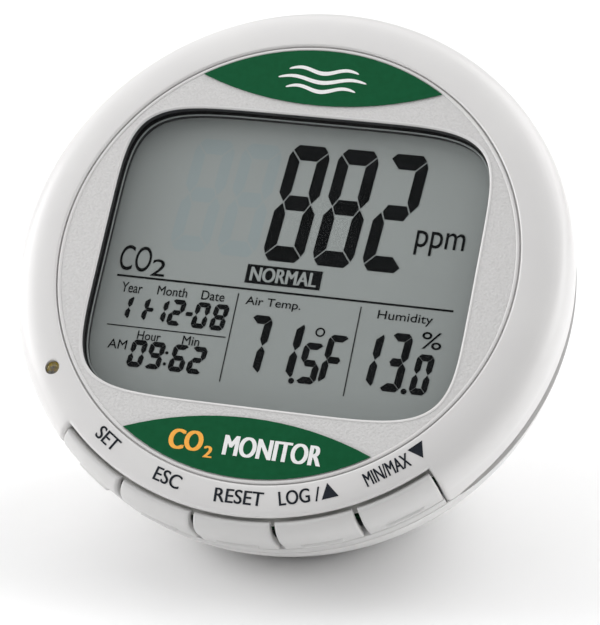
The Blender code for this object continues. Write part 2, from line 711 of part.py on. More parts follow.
def make_gas_sensor(frame):
    """Infrared carbon dioxide sensor: board, header, sample chamber, lamp, detector and dust filter."""
    centre = (8 * MM, 14 * MM)
    header = board_piece("sensor_header", (centre[0], 4 * MM), (20 * MM, 2.5 * MM), BACK_MOUNTED, 19.7 * MM)
    place(header, "black_plastic", frame)
    board = board_piece("co2_sensor_board", centre, (46 * MM, 26 * MM), 20.0 * MM, 21.6 * MM)
    place(board, "board_green", frame)
    chamber = board_piece("co2_sample_chamber", centre, (30 * MM, 14 * MM), 21.9 * MM, 31.0 * MM, 1.0 * MM)
    place(chamber, "steel", frame)
    dust_filter = board_piece("chamber_dust_filter", centre, (20 * MM, 8 * MM), 31.3 * MM, 32.1 * MM)
    place(dust_filter, "white_plastic", frame)
    for name, side, radius, length in (("infrared_lamp", -1, 2.4, 5.0), ("infrared_detector", 1, 4.2, 5.0)):
        can = rod(name, radius * MM, 0.0, length * MM, 20)
        can.rotation_euler = Euler((0, -side * math.pi / 2, 0))
        can.location = (centre[0] + side * 15.3 * MM, centre[1], -26.4 * MM)
        place(can, "steel", frame)


def make_jacks():
    """Power jack with its pin, data jack, and the small board that carries both."""
    depth = JACK_Y[1] - JACK_Y[0]
    for name, x, bore, floor in (("dc_jack", -JACK_X, 2.8 * MM, 9.0 * MM), ("data_jack", JACK_X, 1.8 * MM, 9.0 * MM)):
        profile = [(0.0, floor), (bore, floor), (bore, 0.0), (JACK_RADIUS, 0.0), (JACK_RADIUS, depth), (0.0, depth)]
        jack = place(turned(name, profile, 24), "black_plastic", None)
        stand_along_y(jack, x, FACE_CENTRE.y + JACK_Y[1], JACK_HEIGHT)
    pin = place(rod("dc_jack_pin", 1.0 * MM, 1.2 * MM, 8.7 * MM, 12), "steel", None)
    stand_along_y(pin, -JACK_X, FACE_CENTRE.y + JACK_Y[1], JACK_HEIGHT)
    top = JACK_HEIGHT - JACK_RADIUS - FIT_GAP
    low = (-14 * MM, FACE_CENTRE.y + 30 * MM, top - 1.6 * MM)
    high = (14 * MM, FACE_CENTRE.y + 45 * MM, top)
    place(box("jack_board", low, high), "board_green", None)


def make_screws(frame):
    """Four screws that hold the two housings together through the board."""
    head_front = COLUMN_FLOOR + FIT_GAP
    profile = [
        (0.0, SCREW_TIP),
        (SHANK_RADIUS / 2, SCREW_TIP),
        (SHANK_RADIUS, SCREW_TIP + MM),
        (SHANK_RADIUS, head_front),
        (SCREW_HEAD_RADIUS, head_front),
        (SCREW_HEAD_RADIUS, head_front + SCREW_HEAD_HEIGHT),
        (0.0, head_front + SCREW_HEAD_HEIGHT),
    ]
    for place_name, angle in SCREW_ANGLES.items():
        screw = place(turned("case_screw_" + place_name, profile, 16), "steel", frame)
        screw.location = polar(SCREW_CIRCLE, angle)


def make_feet():
    """Four rubber feet under the flat base."""
    for place_name, (x, y) in FOOT_PLACES.items():
        foot = place(rod("foot_" + place_name, FOOT_RADIUS, 0.0, FOOT_THICKNESS, 24), "rubber", None)
        foot.location = (x, FACE_CENTRE.y + y, FOOT_THICKNESS)


def main():
    clear_scene()
    make_collection(PARTS_NAME)
    make_collection(CUTTERS_NAME)
    for name in FINISHES:
        make_material(name)
    frame = make_face_frame()
    crescents = crescent_cutter(frame)
    make_front_housing(frame, crescents)
    make_rear_housing(frame, crescents)
    make_face(frame)
    make_display(frame)
    make_keys(frame)
    make_key_strip(frame)
    make_board(frame)
    make_status_lamp(frame)
    make_back_components(frame)
    make_gas_sensor(frame)
    make_jacks()
    make_screws(frame)
    make_feet()


main()
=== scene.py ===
"""Looks of the desktop carbon dioxide monitor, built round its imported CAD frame.

Most pieces are drawn in the face frame: x to the right, y up the leaning face and z out of it, with
the origin at the middle of the face. A depth is measured from the face into the case (z = -depth),
and an angle goes round the face from its right-hand side, through its top. Units are metres.
"""

import json
import math
from bisect import bisect_right

import bmesh
import bpy
from mathutils import Euler, Matrix, Vector


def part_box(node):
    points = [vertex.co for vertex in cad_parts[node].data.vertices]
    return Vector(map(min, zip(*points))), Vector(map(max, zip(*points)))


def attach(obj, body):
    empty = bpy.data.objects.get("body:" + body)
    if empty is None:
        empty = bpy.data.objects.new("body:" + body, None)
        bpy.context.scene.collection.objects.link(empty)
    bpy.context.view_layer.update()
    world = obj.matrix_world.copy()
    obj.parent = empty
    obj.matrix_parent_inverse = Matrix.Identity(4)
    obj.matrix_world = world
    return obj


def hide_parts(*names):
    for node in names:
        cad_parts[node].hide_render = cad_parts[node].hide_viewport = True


MM = 0.001
BODY = "monitor"
WHOLE_TURN = [math.radians(i) for i in range(360)]
SHARP_ANGLE = math.radians(35)

# Camera: its direction and distance from the middle of the face, its shift right and up, and its lens.
CAMERA_AZIMUTH = math.radians(16.62)
CAMERA_ELEVATION = math.radians(21.77)
CAMERA_DISTANCE = 538.2 * MM
CAMERA_SHIFT = (3.19 * MM, -10.95 * MM)
CAMERA_LENS = 153.7
CAMERA_SENSOR = 36.0

# Studio: even surroundings, and square lights with a name, a place, a size and a power in watts.
SURROUNDINGS_STRENGTH = 0.36
LIGHT_TARGET = (0.0, 0.0, 0.05)
LIGHTS = [
    ("left_light", (-0.9, -0.1, 0.35), 0.6, 6.6),
    ("right_light", (0.9, 0.15, 0.3), 0.5, 3.2),
    ("top_light", (0.05, 0.25, 1.0), 1.2, 3.6),
    ("front_light", (-0.45, -0.35, 0.85), 0.9, 1.4),
    ("right_back_light", (0.6, 0.6, 0.8), 0.9, 5.2),
    ("left_back_light", (-0.6, 0.6, 0.8), 0.9, 1.2),
]
FLOOR_HALF_SIZE = 4.0

# Case: the face's lean, the section of the rim, and the walls, as in the CAD model.
FACE_LEAN = math.radians(42.75)
PANEL_MIDDLE_DEPTH = 0.95 * MM
RIM_CURVE = [(48.0 * MM, 0.0), (56.0 * MM, 0.2 * MM), (58.6 * MM, 2.5 * MM), (57.7 * MM, 9.0 * MM)]
RIM_SAMPLES = 240
PARTING = (57.3 * MM, 15.35 * MM)
PARTING_SAMPLES = 40
PARTING_EDGE = 0.35 * MM
WALL = 2.4 * MM
BULKHEAD = (1.9 * MM, 4.5 * MM)
PANEL_WELL_RADIUS = 48.0 * MM
RIM_EDGE = 0.5 * MM
RIM_MEAN_RADIUS = 56.0 * MM

# Display: half sizes of the bowed rectangles of the opening, the pane's seat, the pane, the gasket and the
# grey ring of painted highlight, and the insets and depths of the rings of the pane, whose front edge is
# bevelled.
OPENING = (39.2 * MM, 32.0 * MM)
OPENING_POWER = 6
SEAT = (41.3 * MM, 34.1 * MM)
PANE = (41.0 * MM, 33.8 * MM)
GASKET = (38.9 * MM, 31.7 * MM)
HIGHLIGHT_RING_OUTER = (39.12 * MM, 31.92 * MM)
HIGHLIGHT_RING_INNER = (38.85 * MM, 31.65 * MM)
PANE_RINGS = [(0.25 * MM, 2.1 * MM), (0.0, 2.35 * MM), (0.0, 3.0 * MM), (0.1 * MM, 3.2 * MM)]

# Face panel: the grained part, the smooth border round it, and the smooth lip round the opening.
PANEL_BACK = 1.6 * MM
GRAIN_FRONT = 0.35 * MM
GRAIN_RADIUS = 46.95 * MM
BORDER_RADIUS = 47.72 * MM
BORDER_FRONT = 0.2 * MM
BORDER_EDGE = 0.3 * MM
GROOVE_RADIUS = 47.97 * MM
LIP_WIDTH = 0.55 * MM
LIP_DEPTHS = (0.24 * MM, 0.75 * MM)
# Back of the opening's inner wall, which is black as painted shade.
LIP_WALL_BACK = 2.05 * MM

# Keys: their middle, their pitch, where keys and notch start and end along the section, edges and stems.
KEY_NAMES = ["set", "esc", "reset", "log", "minmax"]
KEYS_MIDDLE = math.radians(270)
KEY_PITCH = math.radians(17.2)
KEY_HALF_ANGLE = math.radians(8.1)
NOTCH_CURVE_POINT = 0.36
KEY_CURVE_POINT = 0.42
KEY_FOOT_DEPTH = 11.9 * MM
KEY_RADIUS = 57.0 * MM
KEY_WALL = 1.6 * MM
KEY_EDGES = (0.8 * MM, 0.45 * MM, 0.55 * MM)
NOTCH_EDGE = 1.0 * MM
NOTCH_HALF_ANGLE = len(KEY_NAMES) * KEY_PITCH / 2
NOTCH_ANGLES = (KEYS_MIDDLE - NOTCH_HALF_ANGLE, KEYS_MIDDLE + NOTCH_HALF_ANGLE)
STEM_SIZE = (4.3 * MM, 4.0 * MM, 2.0 * MM)
STEM_PLACE = (54.05 * MM, 0, -6.8 * MM)

# Raised bar low on each key.
BAR_OVER_FOOT = 2.3 * MM
BAR_HALF_LENGTH = 3.7 * MM
BAR_HALF_WIDTH = 0.6 * MM
BAR_HEIGHT = 0.5 * MM

# Strip under the keys, and the foam arc behind the gap over them.
STRIP_START = 12.2 * MM
STRIP_END_GAP = math.radians(0.3)
STRIP_EDGES = (0.2 * MM, 0.3 * MM, 0.3 * MM)
SEAL_RADII = (51.5 * MM, 54.9 * MM)
SEAL_DEPTHS = (BULKHEAD[1] + 0.02 * MM, BULKHEAD[1] + 0.7 * MM)
SEAL_EDGE = 0.15 * MM

# Rear dome.
DOME_START = 15.65 * MM
DOME_ORIGIN = 15.5 * MM
DOME_RADIUS = 57.3 * MM
DOME_LENGTH = 60.0 * MM
DOME_POWERS = (1.45, 1.8)
DOME_DROP = 16.0 * MM
DOME_STEPS = 40
DOME_SEGMENTS = 240
BASE_HEIGHT = 1.0 * MM

# Crescents: recesses between the housings, on the left and on the right.
CRESCENT_HALF_LENGTH = 40.0 * MM
CRESCENT_HALF_WIDTH = 2.2 * MM
CRESCENT_TAPER = 0.3
CRESCENT_TIP_POWER = 10
CRESCENT_TIP_WIDTH = 0.01 * MM
CRESCENT_FLOOR = 56.1 * MM
CRESCENT_REACH = 62.0 * MM
CRESCENT_STEPS = 60

# Holes in the back: vents, jack holes and screw wells, with distances back from the middle of the face.
VENT_ROWS = 5
VENT_LOWEST = 45.0 * MM
VENT_PITCH = 4.4 * MM
VENT_HALF_SIZE = (14.0 * MM, 1.0 * MM)
VENT_REACH = (50 * MM, 72 * MM)
JACK_SIDE = 8.5 * MM
JACK_BACK = 53.2 * MM
JACK_HEIGHT = 22.0 * MM
SCREW_CIRCLE = 47.5 * MM
SCREW_ANGLES = (62, 118, 200, 340)

# Lamp, feet and jacks.
LAMP_ON_FACE = 52.0 * MM
LAMP_ANGLE = math.radians(213.4)
LENS_RADIUS = 1.45 * MM
FOOT_EDGE = 0.25 * MM
JACK_BORES = {"dc_jack": 2.8 * MM, "data_jack": 1.8 * MM}

# Turned profiles of (radius, depth), in millimetres. A crystal is a lamp's light source.
LAMP_HOLE_PROFILE = [(0, -1), (2.2, -1), (1.75, 0.2), (1.52, 0.5), (1.52, 9), (0, 9)]
LAMP_CUP_PROFILE = [
    (0, 2.3), (0.4, 2.3), (0.75, 1.62), (0.95, 1.62), (0.95, 2.0), (1.4, 2.0), (1.4, 7.0), (0, 7.0),
]
LAMP_CRYSTAL_PROFILE = [(0, 1.95), (0.22, 1.95), (0.26, 2.0), (0.26, 2.3), (0, 2.3)]
JACK_HOLE_PROFILE = [(0, -9), (4.3, -9), (4.3, 6), (0, 6)]
SCREW_WELL_PROFILE = [(0, 16.4), (1.95, 16.4), (1.95, 60), (0, 60)]


# ---------------- frame, camera and light

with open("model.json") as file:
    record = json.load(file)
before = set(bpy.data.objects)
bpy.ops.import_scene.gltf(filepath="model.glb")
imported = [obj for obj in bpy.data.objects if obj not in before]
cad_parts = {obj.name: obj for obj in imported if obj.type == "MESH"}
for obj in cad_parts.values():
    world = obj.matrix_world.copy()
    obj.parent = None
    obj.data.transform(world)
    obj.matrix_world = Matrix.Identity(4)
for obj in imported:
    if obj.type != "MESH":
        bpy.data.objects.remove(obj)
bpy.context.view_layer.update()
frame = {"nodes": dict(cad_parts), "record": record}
panel_low, panel_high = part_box("face_panel")
FACE_TURN = Euler((math.pi / 2 - FACE_LEAN, 0.0, 0.0)).to_matrix().to_4x4()
FACE_NORMAL = FACE_TURN.to_3x3() @ Vector((0, 0, 1))
FACE_CENTRE = (panel_low + panel_high) / 2 + FACE_NORMAL * PANEL_MIDDLE_DEPTH
FACE = Matrix.Translation(FACE_CENTRE) @ FACE_TURN
BACKWARD = Euler((-math.pi / 2, 0, 0)).to_matrix().to_4x4()


def make_camera():
    """Camera above, in front and to the right of the face, far off with a long lens."""
    back = Vector((
        math.sin(CAMERA_AZIMUTH) * math.cos(CAMERA_ELEVATION),
        -math.cos(CAMERA_AZIMUTH) * math.cos(CAMERA_ELEVATION),
        math.sin(CAMERA_ELEVATION),
    ))
    right = Vector((math.cos(CAMERA_AZIMUTH), math.sin(CAMERA_AZIMUTH), 0.0))
    up = back.cross(right)
    camera = bpy.data.objects.new("camera", bpy.data.cameras.new("camera"))
    bpy.context.scene.collection.objects.link(camera)
    camera.data.lens = CAMERA_LENS
    camera.data.sensor_width = CAMERA_SENSOR
    camera.data.sensor_fit = "AUTO"
    place = FACE_CENTRE + back * CAMERA_DISTANCE + right * CAMERA_SHIFT[0] + up * CAMERA_SHIFT[1]
    turn = Matrix((right, up, back)).transposed().to_4x4()
    camera.matrix_world = Matrix.Translation(place) @ turn
    bpy.context.scene.camera = camera


def area_light(name, place, size, power):
    """Square soft light aimed at the middle of the object."""
    data = bpy.data.lights.new(name, "AREA")
    data.size = size
    data.energy = power
    light = bpy.data.objects.new(name, data)
    bpy.context.scene.collection.objects.link(light)
    light.location = place
    light.rotation_euler = (Vector(LIGHT_TARGET) - Vector(place)).to_track_quat("-Z", "Y").to_euler()


def make_studio():
    """Pale floor, faint even surroundings and soft lights all round."""
    world = bpy.data.worlds.new("studio")
    bpy.context.scene.world = world
    world.use_nodes = True
    surroundings = world.node_tree.nodes["Background"]
    surroundings.inputs["Color"].default_value = (1.0, 1.0, 1.0, 1.0)
    surroundings.inputs["Strength"].default_value = SURROUNDINGS_STRENGTH
    for name, place, size, power in LIGHTS:
        area_light(name, place, size, power)
    bm = bmesh.new()
    bmesh.ops.create_grid(bm, x_segments=1, y_segments=1, size=FLOOR_HALF_SIZE)
    floor = mesh_piece("floor", bm)
    paint(floor, "floor_paint")
    bpy.context.scene.view_settings.view_transform = "Standard"


# ---------------- materials

# Values that a noise mostly lies between.
NOISE_RANGE = (0.3, 0.7)


def grey(value):
    """Neutral colour."""
    return (value, value, value)


def new_material(name, colour, roughness, metallic=0.0, specular=0.5):
    """Principled material: its shader and its node tree."""
    material = bpy.data.materials.new(name + "_look")
    material.use_nodes = True
    tree = material.node_tree
    shader = tree.nodes["Principled BSDF"]
    shader.inputs["Base Color"].default_value = (*colour, 1.0)
    shader.inputs["Roughness"].default_value = roughness
    shader.inputs["Metallic"].default_value = metallic
    shader.inputs["Specular IOR Level"].default_value = specular
    return shader, tree


def object_noise(tree, scale, detail=3.0):
    """Noise in object coordinates, with a scale in waves per metre."""
    coordinates = tree.nodes.new("ShaderNodeTexCoord")
    noise = tree.nodes.new("ShaderNodeTexNoise")
    noise.inputs["Scale"].default_value = scale
    noise.inputs["Detail"].default_value = detail
    tree.links.new(coordinates.outputs["Object"], noise.inputs["Vector"])
    return noise.outputs["Fac"]


def object_cells(tree, scale):
    """Distance to the nearest of scattered points in object coordinates, a number of cells per metre."""
    coordinates = tree.nodes.new("ShaderNodeTexCoord")
    cells = tree.nodes.new("ShaderNodeTexVoronoi")
    cells.inputs["Scale"].default_value = scale
    tree.links.new(coordinates.outputs["Object"], cells.inputs["Vector"])
    return cells.outputs["Distance"]


def vary_roughness(tree, source, low, high, shader):
    """Stretch a noise to a range of roughness."""
    stretch = tree.nodes.new("ShaderNodeMapRange")
    stretch.inputs["From Min"].default_value = NOISE_RANGE[0]
    stretch.inputs["From Max"].default_value = NOISE_RANGE[1]
    stretch.inputs["To Min"].default_value = low
    stretch.inputs["To Max"].default_value = high
    tree.links.new(source, stretch.inputs["Value"])
    tree.links.new(stretch.outputs["Result"], shader.inputs["Roughness"])


def tint(tree, source, first, second, shader, between=NOISE_RANGE):
    """Mix two colours into the shader's base colour, as a value goes between two."""
    ramp = tree.nodes.new("ShaderNodeValToRGB")
    for element, place, colour in zip(ramp.color_ramp.elements, between, (first, second)):
        element.position = place
        element.color = (*colour, 1.0)
    tree.links.new(source, ramp.inputs["Fac"])
    tree.links.new(ramp.outputs["Color"], shader.inputs["Base Color"])


def bump(tree, source, height, shader, strength=1.0):
    """Bump of a height in metres from a value."""
    node = tree.nodes.new("ShaderNodeBump")
    node.inputs["Strength"].default_value = strength
    node.inputs["Distance"].default_value = height
    tree.links.new(source, node.inputs["Height"])
    tree.links.new(node.outputs["Normal"], shader.inputs["Normal"])


def mottled(name, colours, roughness, scale, detail=3.0, vary=None, relief=None, **more):
    """Material whose colour wanders between two with a noise.

    vary is a range of roughness that goes with the noise. relief is a height and a strength, and then a
    scale and a detail where the relief isn't the same noise.
    """
    shader, tree = new_material(name, colours[0], roughness, **more)
    noise = object_noise(tree, scale, detail)
    tint(tree, noise, *colours, shader)
    if vary:
        vary_roughness(tree, noise, *vary, shader)
    if relief:
        height, strength, *apart = relief
        bump(tree, object_noise(tree, *apart) if apart else noise, height, shader, strength)


def clear_plastic():
    """Clear acrylic pane, seen mostly through."""
    shader, tree = new_material("clear_plastic", grey(0.05), 0.04, specular=0.25)
    shader.inputs["Alpha"].default_value = 0.06
    vary_roughness(tree, object_noise(tree, 25.0), 0.03, 0.06, shader)


def board_green():
    """Circuit board under green solder resist, with a faint pattern of tracks."""
    first, second = (0.008, 0.09, 0.03), (0.014, 0.15, 0.05)
    shader, tree = new_material("board_green", first, 0.4)
    tracks = object_cells(tree, 260.0)
    tint(tree, tracks, first, second, shader, (0.2, 0.5))
    bump(tree, tracks, 0.03 * MM, shader, 0.3)


def lamp_amber():
    """Tinted lens of the unlit lamp, seen partly through."""
    first, second = (0.16, 0.16, 0.15), (0.5, 0.36, 0.03)
    shader, tree = new_material("lamp_amber", second, 0.08)
    shader.inputs["Alpha"].default_value = 0.45
    patches = object_noise(tree, 700.0, 1.0)
    tint(tree, patches, first, second, shader, (0.42, 0.58))
    vary_roughness(tree, patches, 0.05, 0.12, shader)


def make_plastics():
    """Plastics and rubber of the case, the keys and the parts inside."""
    # Satin off-white plastic of the housings, and a slightly darker one of the keys and their strip.
    eroded = (0.012 * MM, 0.5, 5200.0, 2.0)
    colours = [(0.685, 0.675, 0.672), (0.715, 0.706, 0.7)]
    mottled("case_plastic", colours, 0.34, 60.0, vary=(0.31, 0.38), relief=eroded)
    colours = [(0.6, 0.595, 0.59), (0.63, 0.625, 0.62)]
    mottled("key_plastic", colours, 0.42, 90.0, vary=(0.39, 0.46), relief=eroded)
    # Off-white plastic of the face panel, with a fine leather grain.
    colours = [(0.6, 0.592, 0.588), (0.66, 0.652, 0.648)]
    mottled("panel_plastic", colours, 0.5, 2100.0, 1.0, vary=(0.58, 0.46), relief=(0.16 * MM, 0.8))
    # Moulded parts inside.
    colours = [(0.017, 0.017, 0.018), (0.026, 0.026, 0.028)]
    relief = (0.01 * MM, 0.4, 4000.0, 3.0)
    mottled("black_plastic", colours, 0.45, 400.0, vary=(0.4, 0.52), relief=relief)
    colours = [(0.72, 0.72, 0.69), (0.78, 0.78, 0.75)]
    mottled("white_plastic", colours, 0.5, 300.0, relief=(0.01 * MM, 0.3, 4000.0, 3.0))
    # Black rubber, dull and slightly dusty.
    colours = [grey(0.022), (0.045, 0.044, 0.042)]
    mottled("rubber", colours, 0.85, 900.0, vary=(0.78, 0.92), relief=(0.03 * MM, 0.5))
    clear_plastic()
    lamp_amber()


def make_display_looks():
    """Grey-green cell, with unlit segments hardly darker than it and lit ones nearly black."""
    colours = [(0.35, 0.38, 0.372), (0.368, 0.4, 0.392)]
    relief = (0.004 * MM, 0.4, 9000.0, 1.0)
    mottled("display_glass", colours, 0.42, 30.0, relief=relief, specular=0.25)
    mottled("faint_segment", [(0.317, 0.372, 0.376), (0.333, 0.392, 0.398)], 0.42, 30.0, specular=0.25)
    mottled("dark_segment", [(0.002, 0.003, 0.003), (0.006, 0.007, 0.008)], 0.6, 200.0, specular=0.0)


def make_print_looks():
    """Blue-black pad-printed ink, white and orange inks, and dark green film with a slight gloss."""
    colours = [(0.01, 0.013, 0.02), (0.018, 0.022, 0.03)]
    mottled("black_print", colours, 0.5, 1800.0, vary=(0.45, 0.6), specular=0.15)
    mottled("white_print", [grey(0.82), grey(0.88)], 0.35, 1500.0)
    mottled("orange_print", [(0.93, 0.4, 0.04), (0.97, 0.45, 0.055)], 0.35, 1500.0)
    colours = [(0.0, 0.078, 0.025), (0.0015, 0.09, 0.031)]
    relief = (0.008 * MM, 0.4)
    mottled("label_green", colours, 0.5, 700.0, vary=(0.45, 0.55), relief=relief, specular=0.12)


def make_materials():
    """Every material: those above, plated steel with fine drawn lines, and the plain pale floor's."""
    make_plastics()
    make_display_looks()
    make_print_looks()
    board_green()
    mottled("steel", [(0.5, 0.5, 0.51), (0.6, 0.6, 0.61)], 0.3, 1200.0, vary=(0.24, 0.38), metallic=1.0)
    mottled("floor_paint", [grey(0.91), grey(0.93)], 0.7, 3.0)


def paint(piece, name):
    """Give a piece one material."""
    piece.data.materials.clear()
    piece.data.materials.append(bpy.data.materials[name + "_look"])


# ---------------- building


def mesh_piece(name, bm, matrix=None):
    """Object from a bmesh, smooth except at its sharp edges."""
    bmesh.ops.recalc_face_normals(bm, faces=bm.faces)
    mesh = bpy.data.meshes.new(name)
    bm.to_mesh(mesh)
    bm.free()
    if matrix is not None:
        mesh.transform(matrix)
    mesh.shade_smooth()
    mesh.set_sharp_from_angle(angle=SHARP_ANGLE)
    piece = bpy.data.objects.new(name, mesh)
    bpy.context.scene.collection.objects.link(piece)
    return piece


def finish_piece(piece, look, slot=None, body=BODY, replaced=()):
    """Material, body and replaced CAD nodes of a piece; its record slot (by default the look's) is not
    used.
    """
    paint(piece, look)
    slot = slot or look
    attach(piece, body)
    if replaced:
        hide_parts(*replaced)


def polar(radius, angle, depth):
    """Face-frame point."""
    return Vector((radius * math.cos(angle), radius * math.sin(angle), -depth))


def in_metres(points):
    """Points given in millimetres."""
    return [(x * MM, y * MM) for x, y in points]


def apply_modifiers(piece):
    """Replace a piece's mesh by its evaluated mesh."""
    bpy.context.view_layer.update()
    evaluated = piece.evaluated_get(bpy.context.evaluated_depsgraph_get())
    mesh = bpy.data.meshes.new_from_object(evaluated)
    piece.modifiers.clear()
    piece.data = mesh
    mesh.shade_smooth()
    mesh.set_sharp_from_angle(angle=SHARP_ANGLE)


def cut(piece, cutters):
    """Subtract the cutters from a piece and remove them."""
    for cutter in cutters:
        modifier = piece.modifiers.new("cut_" + cutter.name, "BOOLEAN")
        modifier.operation = "DIFFERENCE"
        modifier.solver = "EXACT"
        modifier.object = cutter
    apply_modifiers(piece)
    for cutter in cutters:
        bpy.data.objects.remove(cutter, do_unlink=True)


def loop_grid(bm, places, section, closed, skip=None):
    """Rings of points joined into faces, with one face on each open end. Returns the rings of vertices.

    The section at each place is a closed loop, and skip says which faces to leave out.
    """
    rings = [[bm.verts.new(point) for point in section(place)] for place in places]
    count = len(rings[0])
    pairs = len(rings) if closed else len(rings) - 1
    for i in range(pairs):
        first, second = rings[i], rings[(i + 1) % len(rings)]
        for j in range(count):
            if skip and skip(i, j):
                continue
            k = (j + 1) % count
            bm.faces.new((first[j], first[k], second[k], second[j]))
    if not closed:
        bm.faces.new(rings[0])
        bm.faces.new(rings[-1])
    return rings


def round_angles(count):
    """Angles spread evenly round a circle."""
    return [2 * math.pi * i / count for i in range(count)]


def ring_piece(name, section):
    """Closed ring round the middle of the face, with a section at each degree."""
    bm = bmesh.new()
    loop_grid(bm, WHOLE_TURN, section, True)
    return mesh_piece(name, bm, FACE)


def lathe(name, profile, segments, matrix):
    """Turned piece from a profile of (radius, depth) that starts and ends on the axis."""
    bm = bmesh.new()
    verts = [bm.verts.new((radius, 0.0, -depth)) for radius, depth in profile]
    edges = [bm.edges.new(pair) for pair in zip(verts, verts[1:])]
    bmesh.ops.spin(
        bm, geom=verts + edges, axis=(0, 0, 1), cent=(0, 0, 0), angle=2 * math.pi, steps=segments,
    )
    bmesh.ops.remove_doubles(bm, verts=bm.verts, dist=0.000002)
    return mesh_piece(name, bm, matrix)


# The case's outer line, sampled evenly enough to be read by distance along it.


def bezier(t):
    """Point on the rim's curve."""
    s = 1 - t
    weights = (s ** 3, 3 * s * s * t, 3 * s * t * t, t ** 3)
    return Vector((
        sum(w * p[0] for w, p in zip(weights, RIM_CURVE)),
        sum(w * p[1] for w, p in zip(weights, RIM_CURVE)),
    ))


case_line = [bezier(i / RIM_SAMPLES) for i in range(RIM_SAMPLES + 1)]
rim_end = case_line[-1]
case_line += [rim_end.lerp(Vector(PARTING), i / PARTING_SAMPLES) for i in range(1, PARTING_SAMPLES + 1)]
case_distance = [0.0]
for before, after in zip(case_line, case_line[1:]):
    case_distance.append(case_distance[-1] + (after - before).length)


def case_point(distance, inset=0.0):
    """(radius, depth) at a distance along the case's outer line, moved into the wall by an inset."""
    distance = min(max(distance, 0.0), case_distance[-1] - 1e-9)
    high = bisect_right(case_distance, distance)
    low = high - 1
    share = (distance - case_distance[low]) / (case_distance[high] - case_distance[low])
    point = case_line[low].lerp(case_line[high], share)
    first = case_line[max(low - 2, 0)]
    last = case_line[min(high + 2, len(case_line) - 1)]
    along = (last - first).normalized()
    return point.x - along.y * inset, point.y + along.x * inset


def distance_at_depth(depth):
    """Distance along the case's outer line at which it reaches a depth."""
    for distance, point in zip(case_distance, case_line):
        if point.y >= depth:
            return distance
    return case_distance[-1]


NOTCH_START = case_distance[round(NOTCH_CURVE_POINT * RIM_SAMPLES)]
KEY_START = case_distance[round(KEY_CURVE_POINT * RIM_SAMPLES)]
KEY_END = distance_at_depth(KEY_FOOT_DEPTH)
CASE_END = case_distance[-1]


def roll(distance, radius):
    """How far a surface drops at a distance from an edge that is rounded to a radius."""
    if distance >= radius:
        return 0.0
    return radius - math.sqrt(radius ** 2 - (radius - distance) ** 2)


def edge_steps(radius):
    """Distances from an edge at which a rounded edge needs points."""
    return [radius * (1 - math.cos(math.pi / 2 * i / 5)) for i in range(6)]


def opening_radius(angle, half_width, half_height):
    """Radius at an angle of a rectangle with bowed sides and large round corners."""
    power = OPENING_POWER
    total = abs(math.cos(angle) / half_width) ** power + abs(math.sin(angle) / half_height) ** power
    return total ** (-1 / power)


# ---------------- case


def crescent_cutter(name):
    """Lens-shaped cutter, left and right, that dishes the case down to a cylinder."""
    def section(side, step):
        """Corners of the cutter at a step along it."""
        along = math.sin(math.pi * (step / CRESCENT_STEPS - 0.5))
        y = CRESCENT_HALF_LENGTH * along
        width = CRESCENT_HALF_WIDTH * (1 - CRESCENT_TAPER * along ** 2)
        width = width * math.sqrt(1 - along ** CRESCENT_TIP_POWER) + CRESCENT_TIP_WIDTH
        angle = math.asin(y / CRESCENT_FLOOR)
        inner = Vector((side * CRESCENT_FLOOR * math.cos(angle), y, -DOME_ORIGIN))
        outer = Vector((side * CRESCENT_REACH, y, -DOME_ORIGIN))
        up = Vector((0, 0, width))
        return inner + up, outer + up, outer - up, inner - up

    bm = bmesh.new()
    for side in (1, -1):
        loop_grid(bm, range(CRESCENT_STEPS + 1), lambda step: section(side, step), False)
    return mesh_piece(name, bm, FACE)


def rim_angles():
    """Angles of the rim's sections: a degree apart, and closer together at the notch's ends."""
    close = math.radians(1.3)
    angles = [a for a in WHOLE_TURN if all(abs(a - end) > close for end in NOTCH_ANGLES)]
    for end, side in zip(NOTCH_ANGLES, (-1, 1)):
        angles += [end + side * step / RIM_MEAN_RADIUS for step in edge_steps(NOTCH_EDGE)]
        angles.append(end - side * 0.6 * close)
    return sorted(angles)


def rim_rows():
    """Distances along the case's outer line of the points in the rim's sections."""
    edge_space = NOTCH_EDGE + 0.9 * MM
    parting_space = 0.8 * MM
    rows = [NOTCH_START - step for step in edge_steps(NOTCH_EDGE)]
    rows += [CASE_END - PARTING_EDGE, CASE_END - 0.15 * MM]
    rows += [RIM_EDGE + (NOTCH_START - edge_space) * i / 12 for i in range(13)]
    rows += [NOTCH_START + (CASE_END - NOTCH_START - parting_space) * i / 26 for i in range(1, 27)]
    return sorted(rows)


def rim_section(angle, rows):
    """Closed loop of the rim's wall and the bulkhead at an angle."""
    points = [(PANEL_WELL_RADIUS, BULKHEAD[0]), (PANEL_WELL_RADIUS, 0.9 * MM)]
    soft_edge = reversed(edge_steps(RIM_EDGE)[1:])
    points += [(PANEL_WELL_RADIUS + roll(step, RIM_EDGE), step) for step in soft_edge]
    across = max(NOTCH_ANGLES[0] - angle, angle - NOTCH_ANGLES[1], 0.0) * RIM_MEAN_RADIUS
    for row in rows:
        along = max(NOTCH_START - row, 0.0)
        drop = roll(math.hypot(across, along), NOTCH_EDGE)
        drop += 0.3 * roll(CASE_END - row, PARTING_EDGE)
        points.append(case_point(row, drop))
    points += [(PARTING[0] - PARTING_EDGE, PARTING[1]), (PARTING[0] - WALL, PARTING[1])]
    points += [case_point(CASE_END - (CASE_END - 13.0 * MM) * i / 8, WALL) for i in range(1, 9)]
    points.append((52.4 * MM, BULKHEAD[1]))
    seat = opening_radius(angle, *SEAT)
    points += [(seat, BULKHEAD[1]), (seat, BULKHEAD[0])]
    return [polar(radius, angle, depth) for radius, depth in points]


